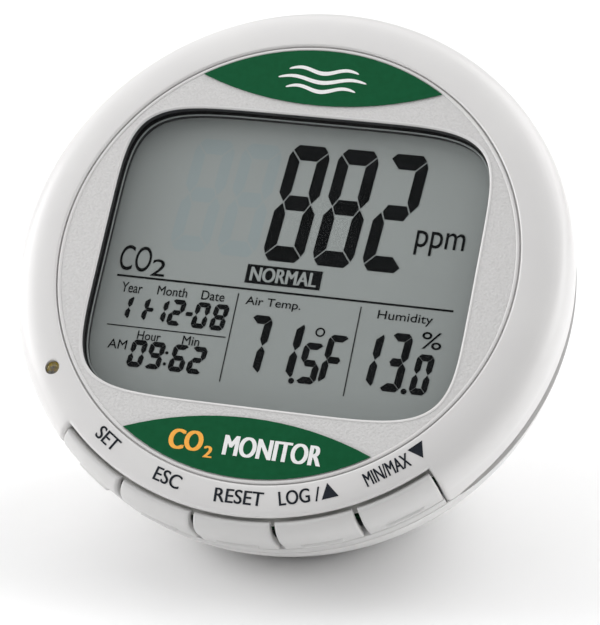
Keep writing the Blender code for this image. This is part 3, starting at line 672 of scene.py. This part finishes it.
def make_front_housing():
    """Rim and bulkhead in one smooth moulding, with a soft-edged notch for the keys and the lamp's hole."""
    angles = rim_angles()
    rows = rim_rows()
    first = 2 + len(edge_steps(RIM_EDGE)[1:]) + rows.index(NOTCH_START)
    last = len(rim_section(0.0, rows)) - 3
    tiny = 1e-6

    def in_notch(i, j):
        """Whether a face is in the keys' notch."""
        inside = NOTCH_ANGLES[0] - tiny <= angles[i] < NOTCH_ANGLES[1] - tiny
        return inside and first <= j < last

    bm = bmesh.new()
    rings = loop_grid(bm, angles, lambda angle: rim_section(angle, rows), True, in_notch)
    columns = [i for i, a in enumerate(angles) if NOTCH_ANGLES[0] - tiny <= a <= NOTCH_ANGLES[1] + tiny]
    for i in columns[:-1]:
        bm.faces.new((rings[i][first], rings[i + 1][first], rings[i + 1][last], rings[i][last]))
    for i in (columns[0], columns[-1]):
        bm.faces.new(rings[i][first:last + 1])
    housing = mesh_piece("front_housing_shell", bm, FACE)
    lamp_place = FACE @ Matrix.Translation(polar(LAMP_ON_FACE, LAMP_ANGLE, 0))
    hole = lathe("lamp_hole", in_metres(LAMP_HOLE_PROFILE), 48, lamp_place)
    cut(housing, [hole, crescent_cutter("front_crescents")])
    finish_piece(housing, "case_plastic", replaced=["front_housing"])


def dome_section(share_of_quarter):
    """Radius, depth and drop of the dome's section at a share of the way to its back."""
    reach = math.sin(math.pi / 2 * share_of_quarter)
    radius = DOME_RADIUS * max(0.0, 1 - reach ** DOME_POWERS[0]) ** (1 / DOME_POWERS[1])
    return radius, DOME_ORIGIN + DOME_LENGTH * reach, DOME_DROP * reach ** 3


def dome_mesh():
    """Outer surface of the dome with a soft front edge, cut off by its flat base."""
    bm = bmesh.new()
    shapes = [
        (DOME_RADIUS - 0.35 * MM, DOME_START, 0.0),
        (DOME_RADIUS - 0.08 * MM, DOME_START + 0.1 * MM, 0.0),
        (dome_section(0.006)[0], DOME_START + 0.35 * MM, 0.0),
    ]
    shapes += [dome_section(i / DOME_STEPS) for i in range(1, DOME_STEPS)]
    rings = []
    for radius, depth, drop in shapes:
        down = Vector((0, drop, 0))
        points = [polar(radius, angle, depth) - down for angle in round_angles(DOME_SEGMENTS)]
        rings.append([bm.verts.new(point) for point in points])
    tip = bm.verts.new((0, -DOME_DROP, -DOME_ORIGIN - DOME_LENGTH))
    neighbours = [(i, (i + 1) % DOME_SEGMENTS) for i in range(DOME_SEGMENTS)]
    for first, second in zip(rings, rings[1:]):
        for i, k in neighbours:
            bm.faces.new((first[i], first[k], second[k], second[i]))
    for i, k in neighbours:
        bm.faces.new((rings[-1][i], rings[-1][k], tip))
    inverse = FACE.inverted()
    cut_at = bmesh.ops.bisect_plane(
        bm,
        geom=bm.verts[:] + bm.edges[:] + bm.faces[:],
        plane_co=inverse @ Vector((0, 0, BASE_HEIGHT)),
        plane_no=inverse.to_3x3() @ Vector((0, 0, -1)),
        clear_outer=True,
    )
    base_edges = [edge for edge in cut_at["geom_cut"] if isinstance(edge, bmesh.types.BMEdge)]
    bmesh.ops.contextual_create(bm, geom=base_edges)
    return bm


def make_rear_housing():
    """Domed back with a flat base, vents, jack holes, screw wells and half of each crescent."""
    housing = mesh_piece("rear_housing_shell", dome_mesh(), FACE)
    if housing.data.polygons[0].normal.dot(housing.data.polygons[0].center) < 0:
        housing.data.flip_normals()
    wall = housing.modifiers.new("wall", "SOLIDIFY")
    wall.thickness = WALL
    wall.offset = -1.0
    cutters = [crescent_cutter("rear_crescents")]
    cutters += [vent_cutter(row) for row in range(VENT_ROWS)]
    for x in (-JACK_SIDE, JACK_SIDE):
        place = Matrix.Translation((x, FACE_CENTRE.y + JACK_BACK, JACK_HEIGHT))
        cutters.append(lathe("jack_hole", in_metres(JACK_HOLE_PROFILE), 64, place @ BACKWARD))
    for angle in SCREW_ANGLES:
        place = Matrix.Translation(polar(SCREW_CIRCLE, math.radians(angle), 0))
        cutters.append(lathe("screw_well", in_metres(SCREW_WELL_PROFILE), 32, FACE @ place))
    cut(housing, cutters)
    finish_piece(housing, "case_plastic", replaced=["rear_housing"])


def vent_cutter(row):
    """Level slot with round ends, through the back of the dome."""
    half_length, half_height = VENT_HALF_SIZE
    height = VENT_LOWEST + row * VENT_PITCH
    outline = []
    for side in (1, -1):
        for i in range(9):
            angle = side * math.pi / 2 - math.pi * i / 8
            x = side * (half_length - half_height) + half_height * math.cos(angle)
            outline.append((x, half_height * math.sin(angle)))
    bm = bmesh.new()
    reach = [FACE_CENTRE.y + y for y in VENT_REACH]
    loop_grid(bm, reach, lambda y: [(x, y, height + z) for x, z in outline], False)
    return mesh_piece("vent_cutter", bm)


# ---------------- keys


def even_steps(low, high, spacing, fewest):
    """Evenly spread values strictly between two, about a spacing apart."""
    count = max(fewest, round((high - low) / spacing))
    return [low + (high - low) * i / count for i in range(1, count)]


def bar_rise(x, row, bar_row):
    """How far the raised bar lifts a key's surface."""
    beside = max(abs(x) - BAR_HALF_LENGTH, 0.0)
    away = math.hypot(beside, row - bar_row)
    return BAR_HEIGHT * max(0.0, 1 - (away / BAR_HALF_WIDTH) ** 4) ** 0.5


def sector(bm, half_angle, start, end, inner_wall, edges, bar=False):
    """Curved plate that continues the rim, with rounded edges: top, bottom and side edge radii."""
    top_edge, bottom_edge, side_edge = edges
    steps = edge_steps(side_edge)
    half_width = half_angle * KEY_RADIUS
    spare = half_width - side_edge
    across = sorted({-half_width + s for s in steps} | {half_width - s for s in steps})
    across = sorted(across + even_steps(-spare, spare, 0.35 * MM, 8))
    rows = [start + s for s in edge_steps(top_edge)] + [end - s for s in edge_steps(bottom_edge)]
    rows = sorted(rows + even_steps(start + top_edge, end - bottom_edge, 0.25 * MM, 6))

    def section(x):
        """Closed loop of the plate at a distance across it."""
        angle = x / KEY_RADIUS
        side = roll(half_width - abs(x), side_edge)
        points = []
        for row in rows:
            drop = max(side, roll(row - start, top_edge), roll(end - row, bottom_edge))
            if bar:
                drop -= bar_rise(x, row, end - BAR_OVER_FOOT)
            points.append(case_point(row, drop))
        inner_rows = [end - (end - start) * i / 8 for i in range(9)]
        points += [case_point(row, inner_wall) for row in inner_rows]
        return [polar(r, angle, w) for r, w in points]

    loop_grid(bm, across, section, False)


def make_keys():
    """Five caps, each with a stem behind it."""
    for index, name in enumerate(KEY_NAMES):
        bm = bmesh.new()
        sector(bm, KEY_HALF_ANGLE, KEY_START, KEY_END, KEY_WALL, KEY_EDGES, bar=True)
        stem = bmesh.ops.create_cube(bm, size=1.0)["verts"]
        bmesh.ops.scale(bm, verts=stem, vec=STEM_SIZE)
        bmesh.ops.translate(bm, verts=stem, vec=STEM_PLACE)
        angle = KEYS_MIDDLE + (index - 2) * KEY_PITCH
        key = mesh_piece(name + "_key_cap", bm, FACE @ Matrix.Rotation(angle, 4, "Z"))
        finish_piece(key, "key_plastic", "case_plastic", name + "_button", [name + "_key"])


def make_key_strip():
    """Curved strip under the keys."""
    bm = bmesh.new()
    half_angle = NOTCH_HALF_ANGLE - STRIP_END_GAP
    sector(bm, half_angle, distance_at_depth(STRIP_START), CASE_END, WALL, STRIP_EDGES)
    strip = mesh_piece("key_strip_band", bm, FACE @ Matrix.Rotation(KEYS_MIDDLE, 4, "Z"))
    finish_piece(strip, "key_plastic", "case_plastic", replaced=["key_strip"])


def make_gap_seal():
    """Pale foam arc on the back of the bulkhead, which closes the view through the gap over the keys."""
    low, high = SEAL_RADII
    front, back = SEAL_DEPTHS
    corners = [
        (low, back), (low, front), (high - SEAL_EDGE, front),
        (high, front + SEAL_EDGE), (high, back - SEAL_EDGE), (high - SEAL_EDGE, back),
    ]
    angles = [KEYS_MIDDLE - NOTCH_HALF_ANGLE + 2 * NOTCH_HALF_ANGLE * i / 90 for i in range(91)]
    bm = bmesh.new()
    loop_grid(bm, angles, lambda angle: [polar(r, angle, d) for r, d in corners], False)
    finish_piece(mesh_piece("key_gap_seal", bm, FACE), "white_plastic")


# ---------------- face and display


def grain_section(angle):
    """Closed loop of the panel's grained part at an angle."""
    inner = opening_radius(angle, *OPENING) + LIP_WIDTH
    points = [(GRAIN_RADIUS, PANEL_BACK)]
    points += [(GRAIN_RADIUS + (inner - GRAIN_RADIUS) * i / 10, GRAIN_FRONT) for i in range(11)]
    points.append((inner, PANEL_BACK))
    return [polar(radius, angle, depth) for radius, depth in points]


def border_section(angle):
    """Closed loop of the panel's border at an angle, with the floor of the groove outside it."""
    steps = edge_steps(BORDER_EDGE)
    points = [(GRAIN_RADIUS, PANEL_BACK)]
    points += [(GRAIN_RADIUS + roll(step, BORDER_EDGE), BORDER_FRONT + step) for step in reversed(steps)]
    points += [(BORDER_RADIUS - roll(step, BORDER_EDGE), BORDER_FRONT + step) for step in steps]
    points += [(BORDER_RADIUS, 0.85 * MM), (GROOVE_RADIUS, 0.9 * MM), (GROOVE_RADIUS, PANEL_BACK)]
    return [polar(radius, angle, depth) for radius, depth in points]


def make_panel():
    """Grained panel, its smooth raised border, the smooth lip round the opening, and its wall in painted
    shade.
    """
    disc = ring_piece("face_panel_disc", grain_section)
    finish_piece(disc, "panel_plastic", replaced=["face_panel"])
    finish_piece(ring_piece("face_panel_border", border_section), "case_plastic", "panel_plastic")
    outer = [side + LIP_WIDTH for side in OPENING]
    lip_front, lip_back = LIP_DEPTHS
    lip = ring_plate("face_panel_lip", outer, OPENING, lip_front, lip_back, 0.42 * MM)
    finish_piece(lip, "case_plastic", "panel_plastic")
    # Inner wall of the opening behind the lip, in black: painted shade for the shadow down the wall.
    wall = ring_plate("face_panel_inner_wall", outer, OPENING, lip_back, LIP_WALL_BACK, 0.03 * MM)
    finish_piece(wall, "black_plastic")


def ring_plate(name, outer, inner, front, back, edge):
    """Frame between two bowed rectangles, with its front inner edge rounded."""
    def section(angle):
        """Closed loop of the frame at an angle."""
        far = opening_radius(angle, *outer)
        near = opening_radius(angle, *inner)
        points = [(far, back), (far, front + 0.12 * MM), (far - 0.06 * MM, front)]
        for i in range(6):
            turn = math.pi / 2 * i / 5
            points.append((near + edge * (1 - math.sin(turn)), front + edge * (1 - math.cos(turn))))
        points.append((near, back))
        return [polar(radius, angle, depth) for radius, depth in points]

    return ring_piece(name, section)


def make_window():
    """Clear pane with a bevelled front edge."""
    def section(ring):
        """Outline of the pane at one of its rings."""
        inset, depth = ring
        size = [side - inset for side in PANE]
        return [polar(opening_radius(angle, *size), angle, depth) for angle in WHOLE_TURN]

    bm = bmesh.new()
    loop_grid(bm, PANE_RINGS, section, False)
    pane = mesh_piece("display_window_pane", bm, FACE)
    finish_piece(pane, "clear_plastic", replaced=["display_window"])


def make_gasket():
    """Black gasket, partly painted shade, and a thin grey ring on its inner edge that is a painted
    highlight.
    """
    # Black gasket: partly a real gasket and partly painted shade, dark where shadow falls on the wall
    # behind the pane.
    gasket = ring_plate("display_gasket", PANE, GASKET, 3.5 * MM, 4.7 * MM, 0.3 * MM)
    finish_piece(gasket, "black_plastic")
    # Thin grey ring (bead) on the gasket's inner edge: painted highlight, standing for light caught by the
    # pane's bevelled edge.
    highlight_ring = ring_plate("display_painted_highlight_ring", HIGHLIGHT_RING_OUTER, HIGHLIGHT_RING_INNER, 3.25 * MM, 3.5 * MM, 0.12 * MM)
    finish_piece(highlight_ring, "display_glass")


# ---------------- readout

# Which of a digit's seven segments, named a to g as usual, each character lights.
SEGMENTS_LIT = {
    "0": "abcdef", "1": "bc", "2": "abged", "3": "abgcd", "5": "afgcd", "6": "afgedc",
    "7": "abc", "8": "abcdefg", "9": "abcdfg", "F": "aefg", "-": "g",
}
DISPLAY_DEPTHS = (4.72 * MM, 4.79 * MM)
UNLIT_DEPTHS = (4.785 * MM, 4.798 * MM)

# The rest of this section's tables are in millimetres on the face. A box is (left, low, right, high).
DISPLAY_WORDS = [
    ("ppm", (24.9, 5.6, 35.0, 11.0)), ("Year", (-34.3, -9.2, -29.8, -7.0)),
    ("Month", (-26.5, -9.0, -20.1, -7.0)), ("Date", (-17.0, -9.0, -12.1, -7.0)),
    ("Hour", (-28.6, -19.1, -23.6, -17.2)), ("Min", (-18.9, -19.1, -15.3, -17.2)),
    ("AM", (-34.4, -21.6, -30.4, -19.6)), ("Air Temp.", (-7.5, -9.5, 4.1, -7.2)),
    ("Humidity", (20.2, -9.5, 31.5, -7.1)), ("%", (30.0, -14.2, 34.2, -10.6)),
    ("CO", (-36.1, -4.4, -29.3, 1.2)), ("2", (-28.9, -5.0, -25.9, -1.3)),
]
DISPLAY_LINES = [
    (-35.9, -5.85, 35.3, -5.45), (-35.6, -16.65, -10.1, -16.45),
    (-9.45, -26.0, -9.25, -6.8), (16.4, -26.0, 16.6, -6.8),
]
STATUS_BOX = (-8.7, -4.3, 7.2, -0.2)
STATUS_WORD_BOX = (-7.8, -3.8, 6.3, -0.7)

# Rows of digits: the characters, the left of each, their foot, a digit's width and height, how far its
# top leans to the right, the thickness of its upright and level segments, and the gap between segments.
LIT_DIGITS = [
    ("8", [-6.3], 1.05, (8.6, 26.2), 1.5, (2.45, 3.4), 0.3),
    ("82", [4.15, 14.65], 1.1, (8.6, 26.2), 1.5, (2.45, 3.4), 0.3),
    ("111208", [-34.6, -31.0, -26.9, -23.3, -18.0, -14.1], -15.3, (3.1, 5.7), 0.5, (1.0, 1.05), 0.08),
    ("--", [-28.7, -20.2], -15.3, (2.4, 5.7), 0.5, (0.6, 0.9), 0.1),
    ("0962", [-29.7, -25.8, -20.8, -16.9], -25.1, (3.3, 5.9), 0.5, (1.05, 1.1), 0.08),
    ("7", [-6.4], -24.0, (4.7, 13.0), 0.8, (1.6, 1.8), 0.12),
    ("1", [0.5], -24.2, (4.7, 13.0), 0.8, (1.6, 1.8), 0.12),
    ("5", [6.0], -24.4, (4.2, 8.8), 0.6, (1.35, 1.45), 0.1),
    ("F", [10.6], -24.2, (4.3, 10.8), 0.7, (1.35, 1.45), 0.1),
    ("13", [17.3, 23.1], -24.0, (4.5, 12.5), 0.8, (1.55, 1.75), 0.12),
    ("0", [29.3], -24.0, (3.6, 8.6), 0.6, (1.25, 1.4), 0.1),
]
UNLIT_DIGITS = [
    ("8", [-26.5], 1.3, (8.6, 25.4), 1.3, (2.45, 3.4), 0.3),
    ("8", [-16.3], 1.2, (8.6, 25.4), 1.3, (2.45, 3.4), 0.3),
]

# Round spots, as (x, y, radius), and the degree sign, with its inner radius too.
DISPLAY_DOTS = [(-21.6, -23.7, 0.34), (-21.6, -21.3, 0.34), (5.3, -24.1, 0.6), (28.4, -23.6, 0.6)]
DEGREE_SIGN = (9.2, -13.2, 1.0, 0.68)


def plate(bm, outline, front, back):
    """Thin plate with an outline of face-frame (x, y) points, between two depths."""
    loop_grid(bm, (front, back), lambda depth: [(x, y, -depth) for x, y in outline], False)


def rectangle(left, low, right, high):
    """Outline of a rectangle given in millimetres."""
    return in_metres([(left, low), (right, low), (right, high), (left, high)])


def segment_outlines(width, height, across, along, gap):
    """Outlines of a digit's seven segments.

    The upright segments are as thick as across, and the level ones as along.
    """
    half = height / 2
    top = [
        (0.65 * across, height), (width - 0.65 * across, height),
        (width - 0.25 * across, height - 0.35 * along), (width - across - 0.3 * gap, height - along),
        (across + 0.3 * gap, height - along), (0.25 * across, height - 0.35 * along),
    ]
    upper_right = [
        (width - 0.2 * across, height - 0.35 * along - gap), (width, height - 0.7 * along - gap),
        (width, half + 0.62 * along), (width - 0.53 * across, half + 0.6 * gap),
        (width - 0.85 * across, half + 0.5 * along), (width - across, half + 0.75 * along),
        (width - across, height - along - 1.2 * gap),
    ]
    tip = 0.53 * across + 0.9 * gap
    shoulder = 0.85 * across + 0.9 * gap
    rise = 0.5 * along - 0.2 * gap
    middle = [
        (tip, half), (shoulder, half + rise), (width - shoulder, half + rise),
        (width - tip, half), (width - shoulder, half - rise), (shoulder, half - rise),
    ]
    return {
        "a": top,
        "b": upper_right,
        "g": middle,
        "c": [(x, height - y) for x, y in upper_right],
        "d": [(x, height - y) for x, y in top],
        "f": [(width - x, y) for x, y in upper_right],
        "e": [(width - x, height - y) for x, y in upper_right],
    }


def draw_digits(bm, rows, depths):
    """Rows of digits between two depths."""
    for characters, lefts, low, (width, height), slant, thickness, gap in rows:
        outlines = segment_outlines(width, height, *thickness, gap)
        for character, left in zip(characters, lefts):
            for key in SEGMENTS_LIT[character]:
                outline = [(left + x + slant * y / height, low + y) for x, y in outlines[key]]
                plate(bm, in_metres(outline), *depths)


def text_mesh(string, box, matrix):
    """Mesh of a string in the default typeface, stretched to fill a box in metres."""
    curve = bpy.data.curves.new("text", "FONT")
    curve.body = string
    curve.resolution_u = 6
    drawn = bpy.data.objects.new("text", curve)
    bpy.context.scene.collection.objects.link(drawn)
    bpy.context.view_layer.update()
    mesh = bpy.data.meshes.new_from_object(drawn.evaluated_get(bpy.context.evaluated_depsgraph_get()))
    bpy.data.objects.remove(drawn, do_unlink=True)
    left, low, right, high = box
    xs = [v.co.x for v in mesh.vertices]
    ys = [v.co.y for v in mesh.vertices]
    scale_x = (right - left) / (max(xs) - min(xs))
    scale_y = (high - low) / (max(ys) - min(ys))
    for v in mesh.vertices:
        v.co = ((v.co.x - min(xs)) * scale_x + left, (v.co.y - min(ys)) * scale_y + low, 0.0)
    mesh.transform(matrix)
    return mesh


def add_lettering(bm, string, box, depths, matrix=Matrix.Identity(4), bold=0.0):
    """Add a string as thin plates that fill a box.

    The box and bold are in millimetres. Bold lays copies side by side across its distance, each a
    hair deeper than the one before.
    """
    front, back = depths
    left, low, right, high = box
    merge_distance = 0.0005 * MM
    for copy in range(3 if bold else 1):
        shift = copy * bold / 2
        place = [side * MM for side in (left + shift, low, right - bold + shift, high)]
        mesh = text_mesh(string, place, matrix)
        part = bmesh.new()
        part.from_mesh(mesh)
        bmesh.ops.remove_doubles(part, verts=part.verts, dist=merge_distance)
        for vertex in part.verts:
            vertex.co.z = -front - copy * 0.002 * MM
        raised = bmesh.ops.extrude_face_region(part, geom=part.faces[:])
        for item in raised["geom"]:
            if isinstance(item, bmesh.types.BMVert):
                item.co.z = -back
        part.to_mesh(mesh)
        part.free()
        bm.from_mesh(mesh)
        bpy.data.meshes.remove(mesh)


def make_readout():
    """What is dark on the display, as thin plates on the cell."""
    bm = bmesh.new()
    draw_digits(bm, LIT_DIGITS, DISPLAY_DEPTHS)
    for word, box in DISPLAY_WORDS:
        add_lettering(bm, word, box, DISPLAY_DEPTHS)
    for line in DISPLAY_LINES:
        plate(bm, rectangle(*line), *DISPLAY_DEPTHS)
    for dot in DISPLAY_DOTS:
        round_dot(bm, *dot)
    degree_ring(bm, *DEGREE_SIGN)
    finish_piece(mesh_piece("display_readout", bm, FACE), "dark_segment", "black_plastic")


def make_unlit_digits():
    """Two digits that are off, seen faintly."""
    bm = bmesh.new()
    draw_digits(bm, UNLIT_DIGITS, UNLIT_DEPTHS)
    finish_piece(mesh_piece("display_faint_digits", bm, FACE), "faint_segment", "display_glass")


def round_dot(bm, x, y, radius):
    """Round spot on the display, in millimetres."""
    outline = [(x + radius * math.cos(a), y + radius * math.sin(a)) for a in round_angles(24)]
    plate(bm, in_metres(outline), *DISPLAY_DEPTHS)


def degree_ring(bm, x, y, outer, inner):
    """Small ring on the display, in millimetres."""
    front, back = DISPLAY_DEPTHS

    def section(angle):
        """Closed loop of the ring at an angle."""
        points = []
        for radius, depth in ((outer, front), (outer, back), (inner, back), (inner, front)):
            across = (x + radius * math.cos(angle)) * MM
            up = (y + radius * math.sin(angle)) * MM
            points.append(Vector((across, up, -depth)))
        return points

    loop_grid(bm, round_angles(32), section, True)


def make_status_word():
    """Dark box on the display with the word in it left light."""
    box = bmesh.new()
    plate(box, rectangle(*STATUS_BOX), *DISPLAY_DEPTHS)
    finish_piece(mesh_piece("display_status_box", box, FACE), "dark_segment", "black_plastic")
    word = bmesh.new()
    depths = (DISPLAY_DEPTHS[0] - 0.05 * MM, DISPLAY_DEPTHS[0] - 0.01 * MM)
    add_lettering(word, "NORMAL", STATUS_WORD_BOX, depths, bold=0.25)
    finish_piece(mesh_piece("display_status_word", word, FACE), "display_glass")


# ---------------- printing

INK_DEPTHS = (0.0, 0.045 * MM)

# Waves on the upper label, in millimetres: their lengths, the height of the first, their pitch and form.
WAVE_LENGTHS = (15.0, 19.0, 15.0)
WAVE_TOP = 42.2
WAVE_PITCH = 2.1
WAVE_HALF_THICKNESS = 0.42
WAVE_HEIGHT = 0.55
WAVE_STEPS = 60

# Legends round the rim: a word, its angle in degrees from the lowest point, and its length in millimetres.
KEY_LEGENDS = [
    ("SET", -33.6, 5.6), ("ESC", -16.1, 5.9), ("RESET", 1.2, 10.0), ("LOG /", 14.9, 8.2),
    ("MIN/MAX", 35.2, 9.6),
]
LEGEND_RADIUS = 50.7
LEGEND_HALF_HEIGHT = 1.4
LEGEND_DEPTHS = (0.0, 0.01 * MM)
LEGEND_LIFT = 0.08 * MM

# Arrowheads beside two legends: an angle in degrees, and 1 for up or -1 for down.
ARROWS = [(21.6, 1), (43.3, -1)]


def make_label_printing():
    """Plain generic motif on the upper green label, and plain words on the lower one."""
    waves = bmesh.new()
    for row, length in enumerate(WAVE_LENGTHS):
        wave(waves, WAVE_TOP - row * WAVE_PITCH, length)
    finish_piece(mesh_piece("upper_label_motif", waves, FACE), "white_print", "white_plastic")
    orange = bmesh.new()
    add_lettering(orange, "CO", (-15.6, -42.6, -8.4, -38.4), INK_DEPTHS, bold=0.5)
    add_lettering(orange, "2", (-8.0, -43.6, -6.1, -41.2), INK_DEPTHS, bold=0.3)
    finish_piece(mesh_piece("lower_label_gas_name", orange, FACE), "orange_print", "lamp_amber")
    white = bmesh.new()
    add_lettering(white, "MONITOR", (-4.2, -42.6, 16.0, -38.4), INK_DEPTHS, bold=0.4)
    finish_piece(mesh_piece("lower_label_word", white, FACE), "white_print", "white_plastic")


def wave(bm, height, length):
    """Wavy tapered stroke across the middle of the label, in millimetres."""
    upper, lower = [], []
    for i in range(WAVE_STEPS + 1):
        share = i / WAVE_STEPS
        x = length * (share - 0.5)
        y = height + WAVE_HEIGHT * math.sin(share * 3 * math.pi)
        half = WAVE_HALF_THICKNESS * math.sin(math.pi * share) ** 0.35 + 0.02
        upper.append((x, y + half))
        lower.append((x, y - half))
    plate(bm, in_metres(upper + lower[::-1]), *INK_DEPTHS)


def rim_place(angle):
    """Place of a legend's middle on the rim, at an angle in degrees from the lowest point."""
    return Matrix.Rotation(math.radians(angle), 4, "Z") @ Matrix.Translation((0, -LEGEND_RADIUS * MM, 0))


def make_key_legends():
    """Words and arrowheads round the rim above the keys, lying on its curved surface."""
    bm = bmesh.new()
    low, high = -LEGEND_HALF_HEIGHT, LEGEND_HALF_HEIGHT
    for word, angle, length in KEY_LEGENDS:
        box = (-length / 2, low, length / 2, high)
        add_lettering(bm, word, box, LEGEND_DEPTHS, rim_place(angle), bold=0.12)
    for angle, up in ARROWS:
        corners = in_metres([(-1.7, -1.4 * up), (1.7, -1.4 * up), (0.0, 1.6 * up)])
        points = [rim_place(angle) @ Vector((x, y, 0)) for x, y in corners]
        plate(bm, [(p.x, p.y) for p in points], *LEGEND_DEPTHS)
    for vertex in bm.verts:
        distance = math.hypot(vertex.co.x, vertex.co.y)
        lift = LEGEND_LIFT if vertex.co.z > -0.005 * MM else 0.0
        vertex.co.z = -surface_depth(distance) + lift
    finish_piece(mesh_piece("key_legends", bm, FACE), "black_print", "black_plastic")


def surface_depth(radius):
    """Depth of the rim's surface at a radius near its inner edge."""
    previous = case_line[0]
    for point in case_line:
        if point.x >= radius:
            share = (radius - previous.x) / max(point.x - previous.x, 1e-9)
            return previous.y + (point.y - previous.y) * share
        previous = point
    return previous.y


# ---------------- small parts


def make_lamp():
    """Domed lens of the lamp, and the bright cup with its crystal behind it."""
    place = FACE @ Matrix.Translation(polar(LAMP_ON_FACE, LAMP_ANGLE, 0))
    radius, top, back = LENS_RADIUS, 0.6 * MM, 1.5 * MM
    bow = 0.7 * MM
    turns = [math.pi / 2 * i / 8 for i in range(9)]
    dome = [(radius * math.sin(turn), top + bow * (1 - math.cos(turn))) for turn in turns]
    lens = lathe("status_lamp_lens", dome + [(radius, back), (0, back)], 40, place)
    finish_piece(lens, "lamp_amber", replaced=["status_lamp"])
    finish_piece(lathe("status_lamp_cup", in_metres(LAMP_CUP_PROFILE), 40, place), "steel")
    crystal = lathe("status_lamp_crystal", in_metres(LAMP_CRYSTAL_PROFILE), 4, place)
    finish_piece(crystal, "orange_print", "lamp_amber")


def make_feet():
    """Four rubber feet with rounded edges."""
    edge = FOOT_EDGE
    rounding = [(edge * (1 - math.sin(a)), edge * (1 - math.cos(a))) for a in (0.4, 0.8, 1.2, math.pi / 2)]
    for name in ("front_left", "front_right", "rear_left", "rear_right"):
        low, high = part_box("foot_" + name)
        middle = (low + high) / 2
        radius = (high.x - low.x) / 2
        thickness = high.z - low.z
        profile = [(0, 0), (radius - edge, 0)]
        profile += [(radius - inward, depth) for inward, depth in rounding]
        profile += [(radius, thickness - edge), (radius - edge, thickness), (0, thickness)]
        place = Matrix.Translation((middle.x, middle.y, high.z))
        foot = lathe("foot_" + name + "_pad", profile, 48, place)
        finish_piece(foot, "rubber", replaced=["foot_" + name])


def make_jacks():
    """Round jacks with a stepped mouth."""
    edge = 0.3 * MM
    bore_depth = 9.0 * MM
    for node, bore in JACK_BORES.items():
        low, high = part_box(node)
        middle = (low + high) / 2
        radius = (high.x - low.x) / 2
        depth = high.y - low.y
        profile = [
            (0, bore_depth), (bore, bore_depth), (bore, 0.5 * MM), (bore + 0.35 * MM, 0.1 * MM),
            (bore + 0.4 * MM, 0), (radius - edge, 0), (radius, edge), (radius, depth), (0, depth),
        ]
        place = Matrix.Translation((middle.x, high.y, middle.z)) @ BACKWARD
        jack = lathe(node + "_socket", profile, 64, place)
        finish_piece(jack, "black_plastic", replaced=[node])


def dress_cad_nodes():
    """Procedural materials for the CAD nodes that still show."""
    record = frame["record"]
    slots = {entry["node"]: entry["material_slot"] for entry in record["subparts"]}
    for name, node in frame["nodes"].items():
        for index in range(len(node.material_slots)):
            node.material_slots[index].material = bpy.data.materials[slots[name] + "_look"]


make_materials()
make_camera()
make_studio()
dress_cad_nodes()
make_front_housing()
make_rear_housing()
make_keys()
make_key_strip()
make_gap_seal()
make_panel()
make_window()
make_gasket()
make_readout()
make_status_word()
make_unlit_digits()
make_label_printing()
make_key_legends()
make_lamp()
make_feet()
make_jacks()
